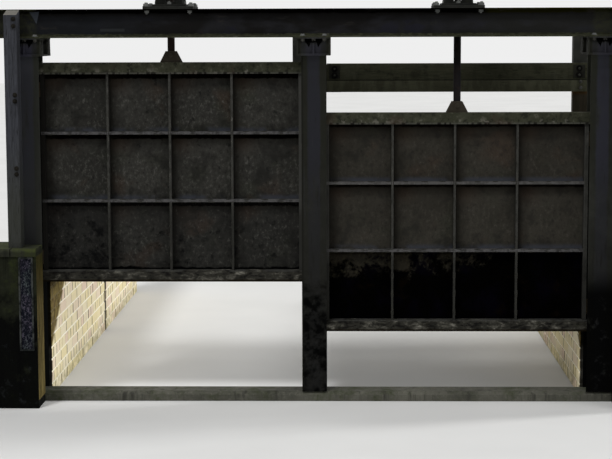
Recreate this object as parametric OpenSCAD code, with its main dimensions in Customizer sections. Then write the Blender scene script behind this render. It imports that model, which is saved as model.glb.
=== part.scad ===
// Two-bay river sluice: ribbed steel lift gates between H-section columns, a twin head beam with
// screw hoists, and brick-lined abutments with side walls running downstream.
// Millimetres, +Z up, +X to the right seen from upstream, origin under the middle column.

/* [Bays] */
// distance between the centres of neighbouring columns
bay_pitch = 1758; // [1500:1:2100]
// upper face of the sill above the underside of the works
sill_top = 60; // [40:1:70]
// height of the left leaf's top edge in the pose shown
left_leaf_top = 2100; // [1900:1:2105]
// height of the right leaf's top edge in the pose shown
right_leaf_top = 1788; // [1560:1:2100]

/* [Columns] */
// width and depth of the rolled H section
column_w = 152; // [140:1:160]
// thickness of the column flanges
column_flange = 9; // [7:0.5:12]
// thickness of the column web
column_web = 8; // [6:0.5:12]
// radius between web and flanges of the column
column_root = 9; // [5:0.5:12]
// level of the column tops
column_top = 2140; // [2130:1:2160]

/* [Head beams] */
// overall depth of each head beam
beam_depth = 173; // [150:1:203]
// flange width of each head beam
beam_flange_w = 102; // [80:1:110]
// flange thickness of each head beam at its edge
beam_flange = 9; // [7:0.5:12]
// extra thickness of the beam flanges where they meet the web
beam_flange_taper = 4; // [0:0.5:6]
// web thickness of each head beam
beam_web = 7; // [5:0.5:10]
// clear gap between the two head beams, in which the stems run
beam_gap = 150; // [130:1:170]
// length of each head beam past the middle of the outer columns
beam_past = 290; // [200:1:340]

/* [Saddles] */
// width of the saddle that carries the beams on each column
saddle_w = 204; // [180:1:230]
// height of the saddle between column top and beams
saddle_h = 110; // [90:1:130]
// thickness of the base plate of the saddle
saddle_plate = 12; // [8:1:16]
// thickness of the plate under each beam flange
saddle_top_t = 8; // [6:1:12]
// thickness of the upright plates of the saddle
saddle_side_t = 10; // [6:1:12]
// how far the upright plates stand back from the flange edges
saddle_back = 26; // [20:1:34]
// how far the end plates stand back from the flange edges at their foot
saddle_lip = 2; // [0:1:6]
// how much further the end plates stand back at their head
saddle_slope = 10; // [4:1:16]
// width of each notch in the upright plate
notch_w = 52; // [36:1:60]
// depth of each notch below the top plate
notch_h = 54; // [30:1:64]

/* [Leaves] */
// height of each leaf
leaf_h = 1359; // [1200:1:1450]
// leaf edge to web clearance in the column groove
leaf_side_gap = 22; // [15:1:35]
// thickness of the skin plate
skin_t = 8; // [6:0.5:12]
// depth of the ribs in front of the skin plate
rib_depth = 50; // [40:1:54]
// thickness of the upright ribs
rib_t = 12; // [8:1:20]
// height of the level ribs
level_rib_t = 17; // [12:1:24]
// distance between upright ribs as a share of half the leaf
rib_share = 0.45; // [0.4:0.01:0.46]
// how far the upright ribs stand to the left of even spacing
rib_shift = 12; // [0:1:20]
// thickness of the end stiffeners
end_rib_t = 22; // [12:1:24]
// middle of the end stiffener at the left end, measured in from the leaf's edge
end_rib_left = 54; // [54:1:80]
// middle of the end stiffener at the right end, measured in from the leaf's edge
end_rib_right = 58; // [54:1:80]
// height of the member along the top edge
top_member_h = 71; // [50:1:90]
// height of the bar along the bottom edge
bottom_bar_h = 70; // [50:1:90]
// how far the top member and bottom bar stand proud of the ribs
edge_proud = 12; // [5:1:25]
// thickness of the edge channels
channel_t = 8; // [6:0.5:12]
// lower edge of the first level rib below the top edge
rib_level_1 = 443; // [400:1:480]
// lower edge of the second level rib below the top edge
rib_level_2 = 863; // [820:1:900]
// width of the seal strips
seal_w = 40; // [30:1:44]
// width of the guide shoes
shoe_w = 36; // [28:1:36]
// thickness of the seal strips
seal_t = 4; // [2:0.5:4.5]
// middle of the seal strips and shoes, measured in from the leaf's edge
seal_in = 24; // [22:1:30]
// height of each guide shoe
shoe_h = 90; // [60:1:120]
// how far the guide shoes stand in front of the ribs
shoe_front = 54; // [40:1:56]
// top of the upper guide shoe below the top edge
shoe_upper = 120; // [90:1:200]
// top of the lower guide shoe above the bottom edge
shoe_lower = 200; // [170:1:300]

/* [Stems] */
// diameter of the lifting stem
stem_d = 45; // [38:1:50]
// length of the stem above the leaf
stem_l = 1560; // [1500:1:1700]
// gap between the leaf and the foot of the stem
stem_foot = 14; // [8:1:20]
// diameter of the stop collar at the head of the stem
collar_d = 70; // [60:1:80]
// height of the stop collar
collar_h = 24; // [15:1:30]
// width of the lifting lug at the leaf
lug_w = 134; // [110:1:150]
// width of the lifting lug at its head
lug_head_w = 64; // [50:1:80]
// height of the lifting lug
lug_h = 68; // [60:1:80]
// thickness of the two lug plates
lug_t = 12; // [8:1:13]
// gap between the stem and each lug plate
lug_gap = 1.5; // [1:0.5:2]
// diameter of the pin that joins stem and lug
pin_d = 24; // [18:1:26]
// height of the pin above the leaf
pin_z = 44; // [40:1:46]
// length of the pin
pin_l = 92; // [80:1:100]

/* [Hoists] */
// width of the hoist base plate along the beams
hoist_plate_w = 305; // [280:1:340]
// thickness of the hoist base plate
hoist_plate_t = 16; // [10:1:20]
// gap round the stem in the hoist plate
stem_clear = 6; // [3:1:12]
// width of the square foot of the pedestal
foot_w = 208; // [200:1:230]
// thickness of the pedestal foot
foot_t = 14; // [10:1:20]
// height of the hoist pedestal
pedestal_h = 240; // [200:1:260]
// diameter of the pedestal barrel
pedestal_d = 116; // [108:1:140]
// wall thickness of the pedestal barrel
pedestal_wall = 14; // [10:1:16]
// width of the windows in the pedestal barrel
window_w = 52; // [40:1:60]
// height of the windows in the pedestal barrel
window_h = 130; // [90:1:150]
// thickness of the ribs on the pedestal
pedestal_rib_t = 12; // [8:1:16]
// how far each rib runs out past half the width of the foot
rib_foot_out = 16; // [0:1:30]
// height of each rib above the foot at its outer end
rib_foot_h = 10; // [4:1:20]
// how far each rib stands out at the head of the barrel
rib_head_out = 8; // [4:1:20]
// diameter of the gear case
gear_d = 226; // [200:1:250]
// height of the gear case
gear_h = 104; // [90:1:130]
// how far the cover flanges stand out from the gear case
cover_out = 13; // [8:1:20]
// thickness of the cover flanges
cover_t = 12; // [8:1:16]
// diameter of the worm housing on the side of the gear case
worm_d = 82; // [70:1:86]
// length of the worm housing
worm_l = 236; // [200:1:260]
// how far the worm's axis lies inside the edge of the gear case
worm_in = 6; // [0:1:12]
// diameter of the crank shaft
shaft_d = 30; // [24:1:36]
// length of the crank shaft outside the worm housing
shaft_l = 84; // [60:1:110]
// side of the square on the crank shaft's end
shaft_square = 20; // [16:0.5:20]
// diameter of the nut tower above the gear case
tower_d = 96; // [84:1:110]
// height of the nut tower above the gear case
tower_h = 56; // [30:1:70]

/* [Masonry] */
// upper face of the coping above the underside of the works
coping_top = 982; // [900:1:1050]
// thickness of the coping stones of the side walls
coping_t = 61; // [50:1:90]
// thickness of the coping stones of the abutments
pier_coping_t = 46; // [40:1:60]
// chamfer along the edges of the coping stones
coping_chamfer = 7; // [3:1:15]
// overhang of the coping stones
coping_out = 12; // [6:1:13]
// joint between the coping stones
coping_joint = 6; // [3:1:12]
// width of each abutment outwards from the middle of its column
abutment_w = 372; // [340:1:450]
// upstream face of the abutments in front of the leaf face
abutment_front = 300; // [280:1:340]
// clearance round a column in its recess
column_clear = 6; // [4:1:10]
// inner face of the side walls, measured in from the edge of the column
wall_inset = 17; // [10:1:30]
// inner face of the abutments, measured in from the edge of the column
pier_inset = 1; // [0:1:4]
// thickness of the side walls
wall_t = 225; // [215:1:330]
// length of the first side wall, from the gate to its movement joint
wall_a_l = 2365; // [2000:1:2600]
// length of the second side wall
wall_b_l = 1960; // [1200:1:2200]
// width of the movement joint between the side walls
wall_joint = 22; // [15:1:30]
// how far the joint filler stands back from the wall faces
filler_back = 14; // [8:1:30]
// chamfer along the upstream edge of the sill
sill_chamfer = 20; // [5:1:30]

/* [Gauge boards] */
// width of the level board over its frame
gauge_w = 88; // [80:1:100]
// height of the level board over its frame
gauge_h = 576; // [400:1:600]
// thickness of the enamelled plate
gauge_t = 6; // [4:0.5:10]
// width of the frame round the plate
gauge_frame_w = 10; // [6:1:16]
// how far the frame stands out from the stone
gauge_frame_out = 5; // [3:0.5:10]
// depth of the recess that holds the board
gauge_recess = 9; // [6:1:20]
// distance of the board from the inner edge of the abutment
gauge_in = 21; // [12:1:30]
// distance of the board below the coping
gauge_drop = 3; // [2:1:60]

/* [Rear guard] */
// distance of the guard rails behind the leaf face
rail_y = 500; // [450:1:560]
// upper edge of the guard rails
rail_top = 2081; // [1950:1:2130]
// height of the upper guard board
rail_upper_h = 107; // [90:1:120]
// height of the lower guard board
rail_lower_h = 75; // [60:1:90]
// thickness of the guard boards
rail_t = 40; // [30:1:50]
// gap between the upper and the lower board
rail_joint = 1; // [1:1:4]
// left end of the right boards from the middle of the works
rail_start = 72; // [60:1:100]
// right end of the right boards short of the column's middle
rail_short = 17; // [14:1:60]
// right end of the left boards from the middle of the works
rail_left_end = 112; // [100:1:150]
// left end of the left boards past the column's middle
rail_past = 110; // [80:1:120]
// width of the outer guard posts
guard_post_w = 91; // [70:1:95]
// depth of the outer guard posts
guard_post_d = 75; // [50:1:90]
// height of the guard posts above the underside of the beams
guard_post_over = 60; // [20:1:90]
// edge of the guard posts in front of the inner wall face
guard_post_inner = 8; // [0:1:10]
// edge of the left guard post short of the outer wall face
guard_post_outer = 10; // [4:1:20]
// half the width of the plate that joins the boards at the middle column
tie_half_w = 165; // [150:1:190]
// thickness of that plate
tie_t = 14; // [8:1:20]
// width of the arm between middle column and boards
arm_w = 80; // [60:1:100]
// height of the arm
arm_h = 60; // [40:1:80]
// left edge of the thin upright from the middle of the works
upright_x = 148; // [140:1:160]
// width of the thin upright
upright_w = 57; // [25:1:70]
// depth of the thin upright
upright_d = 35; // [25:1:45]
// how far the bracket's plate reaches below the lower board
tie_below = 2; // [1:1:10]
// how far the bracket's plate ends under the top of the boards
tie_under = 8; // [0:1:20]

/* [Timber posts] */
// width of the timber posts
timber_w = 78; // [70:1:90]
// depth of the timber posts
timber_d = 105; // [90:1:120]
// height of the timber posts above the coping
timber_h = 1437; // [1300:1:1500]
// how much lower the front of the sloping top is
timber_slope = 30; // [10:1:40]
// inner edge of the timber posts from the middle of the outer column
timber_x = 21; // [18:1:60]
// edge of the right timber post from the middle of its column
timber_x_right = 92; // [92:1:100]

/* [Hidden] */
seat = 0.3;
over = 1;
fine = 64;
small = 40;
column_half = column_w / 2;
beam_bottom = column_top + saddle_h;
beam_top = beam_bottom + beam_depth;
// the leaf lies from its rib face at zero back to the skin plate
leaf_back = rib_depth + skin_t;
stem_y = 35;
beam_front_y = stem_y - (beam_gap + beam_flange_w) / 2;
beam_rear_y = stem_y + (beam_gap + beam_flange_w) / 2;
beam_front_face = beam_front_y - beam_flange_w / 2;
beam_rear_face = beam_rear_y + beam_flange_w / 2;
front_inner = beam_front_face + beam_flange_w;
rear_inner = beam_rear_face - beam_flange_w;
beam_l = 2 * (bay_pitch + beam_past);
bay_mid = bay_pitch / 2;
leaf_half = bay_mid - column_web / 2 - leaf_side_gap;
rib_pitch = leaf_half * rib_share;
coping_under = coping_top - coping_t;
pier_top = coping_top - pier_coping_t;
wall_inner = bay_pitch - column_half - wall_inset;
wall_outer = wall_inner + wall_t;
wall_y0 = column_half + seat;
wall_b_y0 = wall_y0 + wall_a_l + wall_joint;
wall_end = wall_b_y0 + wall_b_l;
pier_inner = bay_pitch - column_half - pier_inset;
pier_split = bay_pitch + column_half + column_clear;
pier_back = -column_half - column_clear;
abutment_end = bay_pitch + abutment_w;
guard_post_top = beam_bottom + guard_post_over;
rail_mid = rail_top - rail_upper_h - rail_joint;
rail_low = rail_mid - rail_lower_h;

module block(x0, x1, y0, y1, z0, z1) {
    translate([x0, y0, z0])
        cube([x1 - x0, y1 - y0, z1 - z0]);
}

module both_sides(side) {
    if (side < 0)
        mirror([1, 0, 0])
            children();
    else
        children();
}

// concave quarter that fills the corner at the origin
module root(r) {
    difference() {
        square([r, r]);
        translate([r, r])
            circle(r = r, $fn = small);
    }
}

module sill() {
    color("gray")
        translate([-pier_split, 0, 0])
            rotate([90, 0, 90])
                linear_extrude(2 * pier_split)
                    polygon([[-column_half, 0], [column_half, 0], [column_half, sill_top],
                        [-column_half + sill_chamfer, sill_top], [-column_half, sill_top - sill_chamfer]]);
}

// masonry beside an outer column
module pier_body() {
    block(pier_split, abutment_end, -abutment_front, column_half, 0, pier_top);
}

// the left abutment also reaches round the front of its column, and holds the level board
module pier_left() {
    color("dimgray")
        both_sides(-1)
            difference() {
                union() {
                    pier_body();
                    block(pier_inner, pier_split, -abutment_front, pier_back, 0, pier_top);
                }
                block(pier_inner + gauge_in, pier_inner + gauge_in + gauge_w,
                    -abutment_front - over, -abutment_front + gauge_recess,
                    pier_top - gauge_drop - gauge_h, pier_top - gauge_drop);
            }
}

module pier_right() {
    color("dimgray")
        pier_body();
}

// enamelled plate sunk inside a raised steel frame
module gauge_boards() {
    x0 = pier_inner + gauge_in;
    z1 = pier_top - gauge_drop;
    back = -abutment_front + gauge_recess;
    color("slategray")
        both_sides(-1)
            difference() {
                block(x0, x0 + gauge_w, -abutment_front - gauge_frame_out, back, z1 - gauge_h, z1);
                block(x0 + gauge_frame_w, x0 + gauge_w - gauge_frame_w,
                    -abutment_front - gauge_frame_out - over, back - gauge_t,
                    z1 - gauge_h + gauge_frame_w, z1 - gauge_frame_w);
            }
}

// two lengths of wall with a movement joint between them
module side_wall(side) {
    color("tan")
        both_sides(side) {
            block(wall_inner, wall_outer, wall_y0, wall_y0 + wall_a_l, 0, coping_under);
            block(wall_inner, wall_outer, wall_b_y0, wall_end, 0, coping_under);
        }
}

module side_wall_left() { side_wall(-1); }
module side_wall_right() { side_wall(1); }

// board left in the movement joint, set back from both wall faces
module joint_filler(side) {
    color("black")
        both_sides(side)
            block(wall_inner + filler_back, wall_outer - filler_back, wall_y0 + wall_a_l, wall_b_y0,
                0, coping_under);
}

module joint_filler_left() { joint_filler(-1); }
module joint_filler_right() { joint_filler(1); }

// coping profile between two edges, both upper edges chamfered
module coping_profile(a, b, z0) {
    polygon([[a, z0], [b, z0], [b, coping_top - coping_chamfer],
        [b - coping_chamfer, coping_top], [a + coping_chamfer, coping_top],
        [a, coping_top - coping_chamfer]]);
}

// row of stones that runs downstream along the side wall
module wall_coping(y0, length, count) {
    stone = (length - (count - 1) * coping_joint) / count;
    for (i = [0:count - 1])
        translate([0, y0 + i * (stone + coping_joint) + stone, 0])
            rotate([90, 0, 0])
                linear_extrude(stone)
                    coping_profile(wall_inner - coping_out, wall_outer + coping_out, coping_under);
}

// stone that lies across the abutment
module pier_coping(x0, x1, y1) {
    translate([x0, 0, 0])
        rotate([90, 0, 90])
            linear_extrude(x1 - x0)
                coping_profile(-abutment_front - coping_out, y1, pier_top);
}

module coping(side) {
    color("lightgray")
        both_sides(side) {
            if (side < 0)
                pier_coping(pier_inner, pier_split - coping_joint, pier_back);
            pier_coping(pier_split, abutment_end + coping_out, column_half);
            wall_coping(wall_y0, wall_a_l, 4);
            wall_coping(wall_b_y0, wall_b_l, 3);
        }
}

module coping_left() { coping(-1); }
module coping_right() { coping(1); }

// rolled H section with root radii, the web along the flow
module h_profile() {
    inner = column_half - column_flange;
    square([column_web, column_w], center = true);
    for (s = [-1, 1])
        translate([0, s * (column_half - column_flange / 2)])
            square([column_w, column_flange], center = true);
    for (sx = [0, 1])
        for (sy = [0, 1])
            mirror([sx, 0])
                mirror([0, sy])
                    translate([column_web / 2, inner])
                        mirror([0, 1])
                            root(column_root);
}

module column(x) {
    color("darkolivegreen")
        translate([x, 0, sill_top])
            linear_extrude(column_top - sill_top)
                h_profile();
}

module column_left() { column(-bay_pitch); }
module column_middle() { column(0); }
module column_right() { column(bay_pitch); }

// upright plate with two three-cornered notches under the beam flange
module notched_plate() {
    high = saddle_h - saddle_top_t;
    linear_extrude(saddle_side_t)
        difference() {
            translate([-saddle_w / 2, saddle_plate])
                square([saddle_w, high - saddle_plate]);
            for (s = [-1, 1])
                polygon([[s * saddle_side_t, high + over], [s * (saddle_side_t + notch_w), high + over],
                    [s * (saddle_side_t + notch_w / 3), high - notch_h]]);
        }
}

// stool under one head beam, its notched plate on the outer side and a plain plate on the inner side
module stool(y0, y1, outer, inner) {
    low = saddle_plate;
    high = saddle_h - saddle_top_t;
    block(-saddle_w / 2, saddle_w / 2, y0, y1, high, saddle_h);
    translate([0, outer + saddle_side_t / 2, 0])
        rotate([90, 0, 0])
            notched_plate();
    block(-saddle_w / 2, saddle_w / 2, inner - saddle_side_t / 2, inner + saddle_side_t / 2, low, high);
    for (x = [-saddle_w / 2, -saddle_side_t / 2, saddle_w / 2 - saddle_side_t])
        translate([x, 0, 0])
            rotate([90, 0, 90])
                linear_extrude(saddle_side_t)
                    polygon([[y0 + saddle_lip, low], [y1 - saddle_lip, low],
                        [y1 - saddle_lip - saddle_slope, high], [y0 + saddle_lip + saddle_slope, high]]);
}

module saddle(x) {
    color("dimgray")
        translate([x, 0, column_top]) {
            block(-saddle_w / 2, saddle_w / 2, beam_front_face, beam_rear_face, 0, saddle_plate);
            stool(beam_front_face, front_inner, beam_front_face + saddle_back, front_inner - saddle_back);
            stool(rear_inner, beam_rear_face, beam_rear_face - saddle_back, rear_inner + saddle_back);
        }
}

module saddle_left() { saddle(-bay_pitch); }
module saddle_middle() { saddle(0); }
module saddle_right() { saddle(bay_pitch); }

// rolled beam section with tapered flanges, its depth along the second axis
module i_profile() {
    edge = beam_depth / 2;
    root_y = edge - beam_flange - beam_flange_taper;
    square([beam_web, beam_depth], center = true);
    for (s = [-1, 1])
        polygon([[-beam_flange_w / 2, s * edge], [beam_flange_w / 2, s * edge],
            [beam_flange_w / 2, s * (edge - beam_flange)], [beam_web / 2, s * root_y],
            [-beam_web / 2, s * root_y], [-beam_flange_w / 2, s * (edge - beam_flange)]]);
}

module head_beam(y) {
    color("dimgray")
        translate([-beam_l / 2, y, beam_bottom + beam_depth / 2])
            rotate([90, 0, 90])
                linear_extrude(beam_l)
                    i_profile();
}

module head_beam_front() { head_beam(beam_front_y); }
module head_beam_rear() { head_beam(beam_rear_y); }

module hoist_plate(x) {
    color("slategray")
        translate([x, stem_y, beam_top])
            difference() {
                linear_extrude(hoist_plate_t)
                    square([hoist_plate_w, beam_rear_face - beam_front_face], center = true);
                translate([0, 0, -over])
                    cylinder(d = stem_d + 2 * stem_clear, h = hoist_plate_t + 2 * over, $fn = fine);
            }
}

module hoist_plate_left() { hoist_plate(-bay_mid); }
module hoist_plate_right() { hoist_plate(bay_mid); }

// foot and ribbed barrel with windows, open from end to end
module pedestal(x) {
    color("darkslategray")
        translate([x, stem_y, beam_top + hoist_plate_t])
            difference() {
                union() {
                    translate([0, 0, foot_t / 2])
                        cube([foot_w, foot_w, foot_t], center = true);
                    cylinder(d = pedestal_d, h = pedestal_h, $fn = fine);
                    for (a = [45:90:315])
                        rotate([90, 0, a])
                            translate([0, 0, -pedestal_rib_t / 2])
                                linear_extrude(pedestal_rib_t)
                                    pedestal_rib();
                }
                translate([0, 0, -over])
                    cylinder(d = pedestal_d - 2 * pedestal_wall, h = pedestal_h + 2 * over, $fn = fine);
                for (a = [0, 90])
                    rotate([0, 0, a])
                        translate([0, 0, foot_t + pedestal_wall + window_h / 2])
                            cube([pedestal_d + 2 * over, window_w, window_h], center = true);
            }
}

// outline of one rib, from the wall of the barrel out to the foot
module pedestal_rib() {
    inner = (pedestal_d - pedestal_wall) / 2;
    polygon([[inner, 0], [foot_w / 2 + rib_foot_out, 0], [foot_w / 2 + rib_foot_out, foot_t + rib_foot_h],
        [pedestal_d / 2 + rib_head_out, pedestal_h], [inner, pedestal_h]]);
}

module pedestal_left() { pedestal(-bay_mid); }
module pedestal_right() { pedestal(bay_mid); }

// gear case with two cover flanges and the nut tower on top
module gear_case() {
    cylinder(d = gear_d, h = gear_h, $fn = fine);
    for (z = [0, gear_h - cover_t])
        translate([0, 0, z])
            cylinder(d = gear_d + 2 * cover_out, h = cover_t, $fn = fine);
    cylinder(d = tower_d, h = gear_h + tower_h, $fn = fine);
    translate([0, 0, gear_h + tower_h - cover_t])
        cylinder(d = tower_d + cover_out, h = cover_t, $fn = fine);
}

// worm housing with end caps and the crank shaft, its end square
module worm() {
    rotate([0, 90, 0]) {
        translate([0, 0, -worm_l / 2])
            cylinder(d = worm_d, h = worm_l, $fn = fine);
        for (z = [-worm_l / 2, worm_l / 2 - cover_t])
            translate([0, 0, z])
                cylinder(d = worm_d + cover_out, h = cover_t, $fn = fine);
        cylinder(d = shaft_d, h = worm_l / 2 + shaft_l / 2, $fn = small);
        translate([0, 0, worm_l / 2 + shaft_l / 2])
            cube([shaft_square, shaft_square, shaft_l], center = true);
    }
}

module hoist(x) {
    color("darkslategray")
        translate([x, stem_y, beam_top + hoist_plate_t + pedestal_h])
            difference() {
                union() {
                    gear_case();
                    translate([0, gear_d / 2 - worm_in, gear_h / 2])
                        worm();
                }
                // the lifting nut runs on the stem
                translate([0, 0, -over])
                    cylinder(d = stem_d + 2 * seat, h = gear_h + tower_h + 2 * over, $fn = fine);
            }
}

module hoist_left() { hoist(-bay_mid); }
module hoist_right() { hoist(bay_mid); }

// post against the front of the head beam, its top sloping towards the water
module timber_post(side, x) {
    y1 = beam_front_face;
    top = coping_top + timber_h;
    color("burlywood")
        both_sides(side)
            translate([bay_pitch + x, 0, 0])
                rotate([90, 0, 90])
                    linear_extrude(timber_w)
                        polygon([[y1 - timber_d, coping_top], [y1, coping_top], [y1, top],
                            [y1 - timber_d, top - timber_slope]]);
}

module timber_post_left() { timber_post(-1, timber_x); }
module timber_post_right() { timber_post(1, timber_x_right); }

module guard_post(x0) {
    color("saddlebrown")
        block(x0, x0 + guard_post_w, rail_y + rail_t, rail_y + rail_t + guard_post_d,
            coping_top, guard_post_top);
}

module guard_post_left() { guard_post(-wall_outer + guard_post_outer); }
module guard_post_right() { guard_post(wall_inner - guard_post_inner); }

// arm from the middle column, the plate behind the boards and the thin upright
module guard_bracket() {
    back = rail_y + rail_t;
    color("dimgray") {
        block(-arm_w / 2, arm_w / 2, column_half, back + tie_t, rail_low - arm_h, rail_low - tie_below);
        block(-tie_half_w, tie_half_w, back, back + tie_t, rail_low - tie_below, rail_top - tie_under);
        block(-upright_x, -upright_x + upright_w, back + tie_t, back + tie_t + upright_d,
            rail_low, guard_post_top);
    }
}

module guard_rails() {
    color("saddlebrown")
        for (span = [[-bay_pitch - rail_past, -rail_left_end], [rail_start, bay_pitch - rail_short]]) {
            block(span[0], span[1], rail_y, rail_y + rail_t, rail_top - rail_upper_h, rail_top);
            block(span[0], span[1], rail_y, rail_y + rail_t, rail_low, rail_mid);
        }
}

module skin(x, z) {
    color("darkslategray")
        block(x - leaf_half, x + leaf_half, rib_depth, leaf_back,
            z - leaf_h + bottom_bar_h, z - top_member_h);
}

module ribs(x, z) {
    low = z - leaf_h + bottom_bar_h;
    high = z - top_member_h;
    color("slategray") {
        for (px = [-rib_pitch, 0, rib_pitch])
            block(x + px - rib_shift - rib_t / 2, x + px - rib_shift + rib_t / 2, 0, rib_depth, low, high);
        for (px = [-leaf_half + end_rib_left, leaf_half - end_rib_right])
            block(x + px - end_rib_t / 2, x + px + end_rib_t / 2, 0, rib_depth, low, high);
        for (level = [rib_level_1, rib_level_2])
            block(x - leaf_half + end_rib_left, x + leaf_half - end_rib_right, 0, rib_depth,
                z - level, z - level + level_rib_t);
    }
}

// rolled channel along a leaf edge, open downstream
module edge_channel(x, z0, h) {
    difference() {
        block(x - leaf_half, x + leaf_half, -edge_proud, leaf_back, z0, z0 + h);
        block(x - leaf_half - over, x + leaf_half + over, -edge_proud + channel_t, leaf_back + over,
            z0 + channel_t, z0 + h - channel_t);
    }
}

module top_member(x, z) {
    color("darkolivegreen")
        edge_channel(x, z - top_member_h, top_member_h);
}

module bottom_bar(x, z) {
    color("dimgray")
        edge_channel(x, z - leaf_h, bottom_bar_h);
}

module seals(x, z) {
    color("black")
        for (s = [-1, 1])
            translate([x + s * (leaf_half - seal_in), 0, 0])
                block(-seal_w / 2, seal_w / 2, leaf_back, leaf_back + seal_t, z - leaf_h, z);
}

// shoes bolted to the skin plate beside the end stiffeners
module guide_shoes(x, z) {
    color("goldenrod")
        for (s = [-1, 1])
            for (level = [shoe_upper, leaf_h - shoe_lower])
                translate([x + s * (leaf_half - seal_in), 0, z - level])
                    block(-shoe_w / 2, shoe_w / 2, -shoe_front, rib_depth, -shoe_h, 0);
}

module lug(x, z) {
    color("dimgray")
        translate([x, stem_y, z]) {
            for (s = [-1, 1])
                translate([0, s * (stem_d / 2 + lug_t / 2 + lug_gap) + lug_t / 2, 0])
                    rotate([90, 0, 0])
                        linear_extrude(lug_t)
                            polygon([[-lug_w / 2, 0], [lug_w / 2, 0], [lug_head_w / 2, lug_h],
                                [-lug_head_w / 2, lug_h]]);
            translate([0, pin_l / 2, pin_z])
                rotate([90, 0, 0])
                    cylinder(d = pin_d, h = pin_l, $fn = small);
        }
}

// screw stem with its pin hole at the foot and a stop collar at the head
module stem(x, z) {
    color("lightslategray")
        translate([x, stem_y, z + stem_foot])
            difference() {
                union() {
                    cylinder(d = stem_d, h = stem_l - stem_foot, $fn = fine);
                    translate([0, 0, stem_l - stem_foot - collar_h])
                        cylinder(d = collar_d, h = collar_h, $fn = fine);
                }
                translate([0, stem_d, pin_z - stem_foot])
                    rotate([90, 0, 0])
                        cylinder(d = pin_d + 2 * seat, h = 2 * stem_d, $fn = small);
            }
}

module skin_left() { skin(-bay_mid, left_leaf_top); }
module ribs_left() { ribs(-bay_mid, left_leaf_top); }
module top_member_left() { top_member(-bay_mid, left_leaf_top); }
module bottom_bar_left() { bottom_bar(-bay_mid, left_leaf_top); }
module seals_left() { seals(-bay_mid, left_leaf_top); }
module guide_shoes_left() { guide_shoes(-bay_mid, left_leaf_top); }
module lug_left() { lug(-bay_mid, left_leaf_top); }
module stem_left() { stem(-bay_mid, left_leaf_top); }
module skin_right() { skin(bay_mid, right_leaf_top); }
module ribs_right() { ribs(bay_mid, right_leaf_top); }
module top_member_right() { top_member(bay_mid, right_leaf_top); }
module bottom_bar_right() { bottom_bar(bay_mid, right_leaf_top); }
module seals_right() { seals(bay_mid, right_leaf_top); }
module guide_shoes_right() { guide_shoes(bay_mid, right_leaf_top); }
module lug_right() { lug(bay_mid, right_leaf_top); }
module stem_right() { stem(bay_mid, right_leaf_top); }

sill();
pier_left();
pier_right();
coping_left();
coping_right();
side_wall_left();
side_wall_right();
joint_filler_left();
joint_filler_right();
gauge_boards();
column_left();
column_middle();
column_right();
saddle_left();
saddle_middle();
saddle_right();
head_beam_front();
head_beam_rear();
hoist_plate_left();
hoist_plate_right();
pedestal_left();
pedestal_right();
hoist_left();
hoist_right();
timber_post_left();
timber_post_right();
guard_post_left();
guard_post_right();
guard_bracket();
guard_rails();
skin_left();
ribs_left();
top_member_left();
bottom_bar_left();
seals_left();
guide_shoes_left();
lug_left();
stem_left();
skin_right();
ribs_right();
top_member_right();
bottom_bar_right();
seals_right();
guide_shoes_right();
lug_right();
stem_right();
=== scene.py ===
"""Looks of the two-bay sluice gate: materials, bricks, fasteners, welds, screw threads, light and camera.

Metres, in the frame of the CAD part. The photo is 612 x 459 pixels.
"""
import math
import random

import bpy
from mathutils import Euler, Matrix, Vector

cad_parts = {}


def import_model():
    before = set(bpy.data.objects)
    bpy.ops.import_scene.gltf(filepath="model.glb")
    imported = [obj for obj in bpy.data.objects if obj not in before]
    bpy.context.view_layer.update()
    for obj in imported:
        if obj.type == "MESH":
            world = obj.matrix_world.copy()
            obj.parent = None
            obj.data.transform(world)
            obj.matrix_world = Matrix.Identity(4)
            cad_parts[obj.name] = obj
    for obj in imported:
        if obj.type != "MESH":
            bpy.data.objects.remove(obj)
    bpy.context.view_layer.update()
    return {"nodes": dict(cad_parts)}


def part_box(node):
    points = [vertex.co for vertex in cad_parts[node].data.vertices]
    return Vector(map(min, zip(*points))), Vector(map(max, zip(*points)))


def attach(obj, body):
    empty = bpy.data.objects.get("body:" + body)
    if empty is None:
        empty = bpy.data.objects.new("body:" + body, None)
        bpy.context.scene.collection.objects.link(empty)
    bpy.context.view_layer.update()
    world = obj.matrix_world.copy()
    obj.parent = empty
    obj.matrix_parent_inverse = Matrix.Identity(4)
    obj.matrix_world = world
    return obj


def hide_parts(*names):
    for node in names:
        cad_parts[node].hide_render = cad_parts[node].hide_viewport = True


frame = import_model()
NODES = frame["nodes"]

# places read from the frame
SIDES = (("left", -1), ("right", 1))
BEAM_LO, BEAM_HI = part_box("head_beam_front")
REAR_LO, REAR_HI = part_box("head_beam_rear")
COLUMN_LO, COLUMN_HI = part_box("column_middle")
WALL_LO, WALL_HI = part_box("side_wall_right")
FILLER_LO, FILLER_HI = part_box("joint_filler_right")
RAIL_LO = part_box("guard_rails")[0]
PIER_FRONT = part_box("pier_left")[0].y
COPING_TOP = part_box("coping_left")[1].z
BAY = (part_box("column_right")[0].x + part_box("column_right")[1].x) / 2
COLUMN_HALF = (COLUMN_HI.x - COLUMN_LO.x) / 2

# sizes in the CAD source that the frame doesn't give
FLANGE = 0.009
SADDLE_TOP = 0.008
BOARD_SPLIT = RAIL_LO.z + 0.0755

# parts of a leaf, below its top edge or from its middle
TOP_MEMBER = 0.071
BOTTOM_BAR = 0.07
RIB_DEPTH = 0.05
RIB_1, RIB_2 = LEVEL_RIBS = (0.443, 0.863)
LEVEL_RIB_T = 0.017
RIB_T = 0.012
PANEL_TOPS = (TOP_MEMBER, *LEVEL_RIBS)
RIB_SHARE = 0.45
RIB_SHIFT = 0.012
END_RIB_LEFT = 0.054
END_RIB_RIGHT = 0.058
END_RIB_T = 0.022

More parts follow.
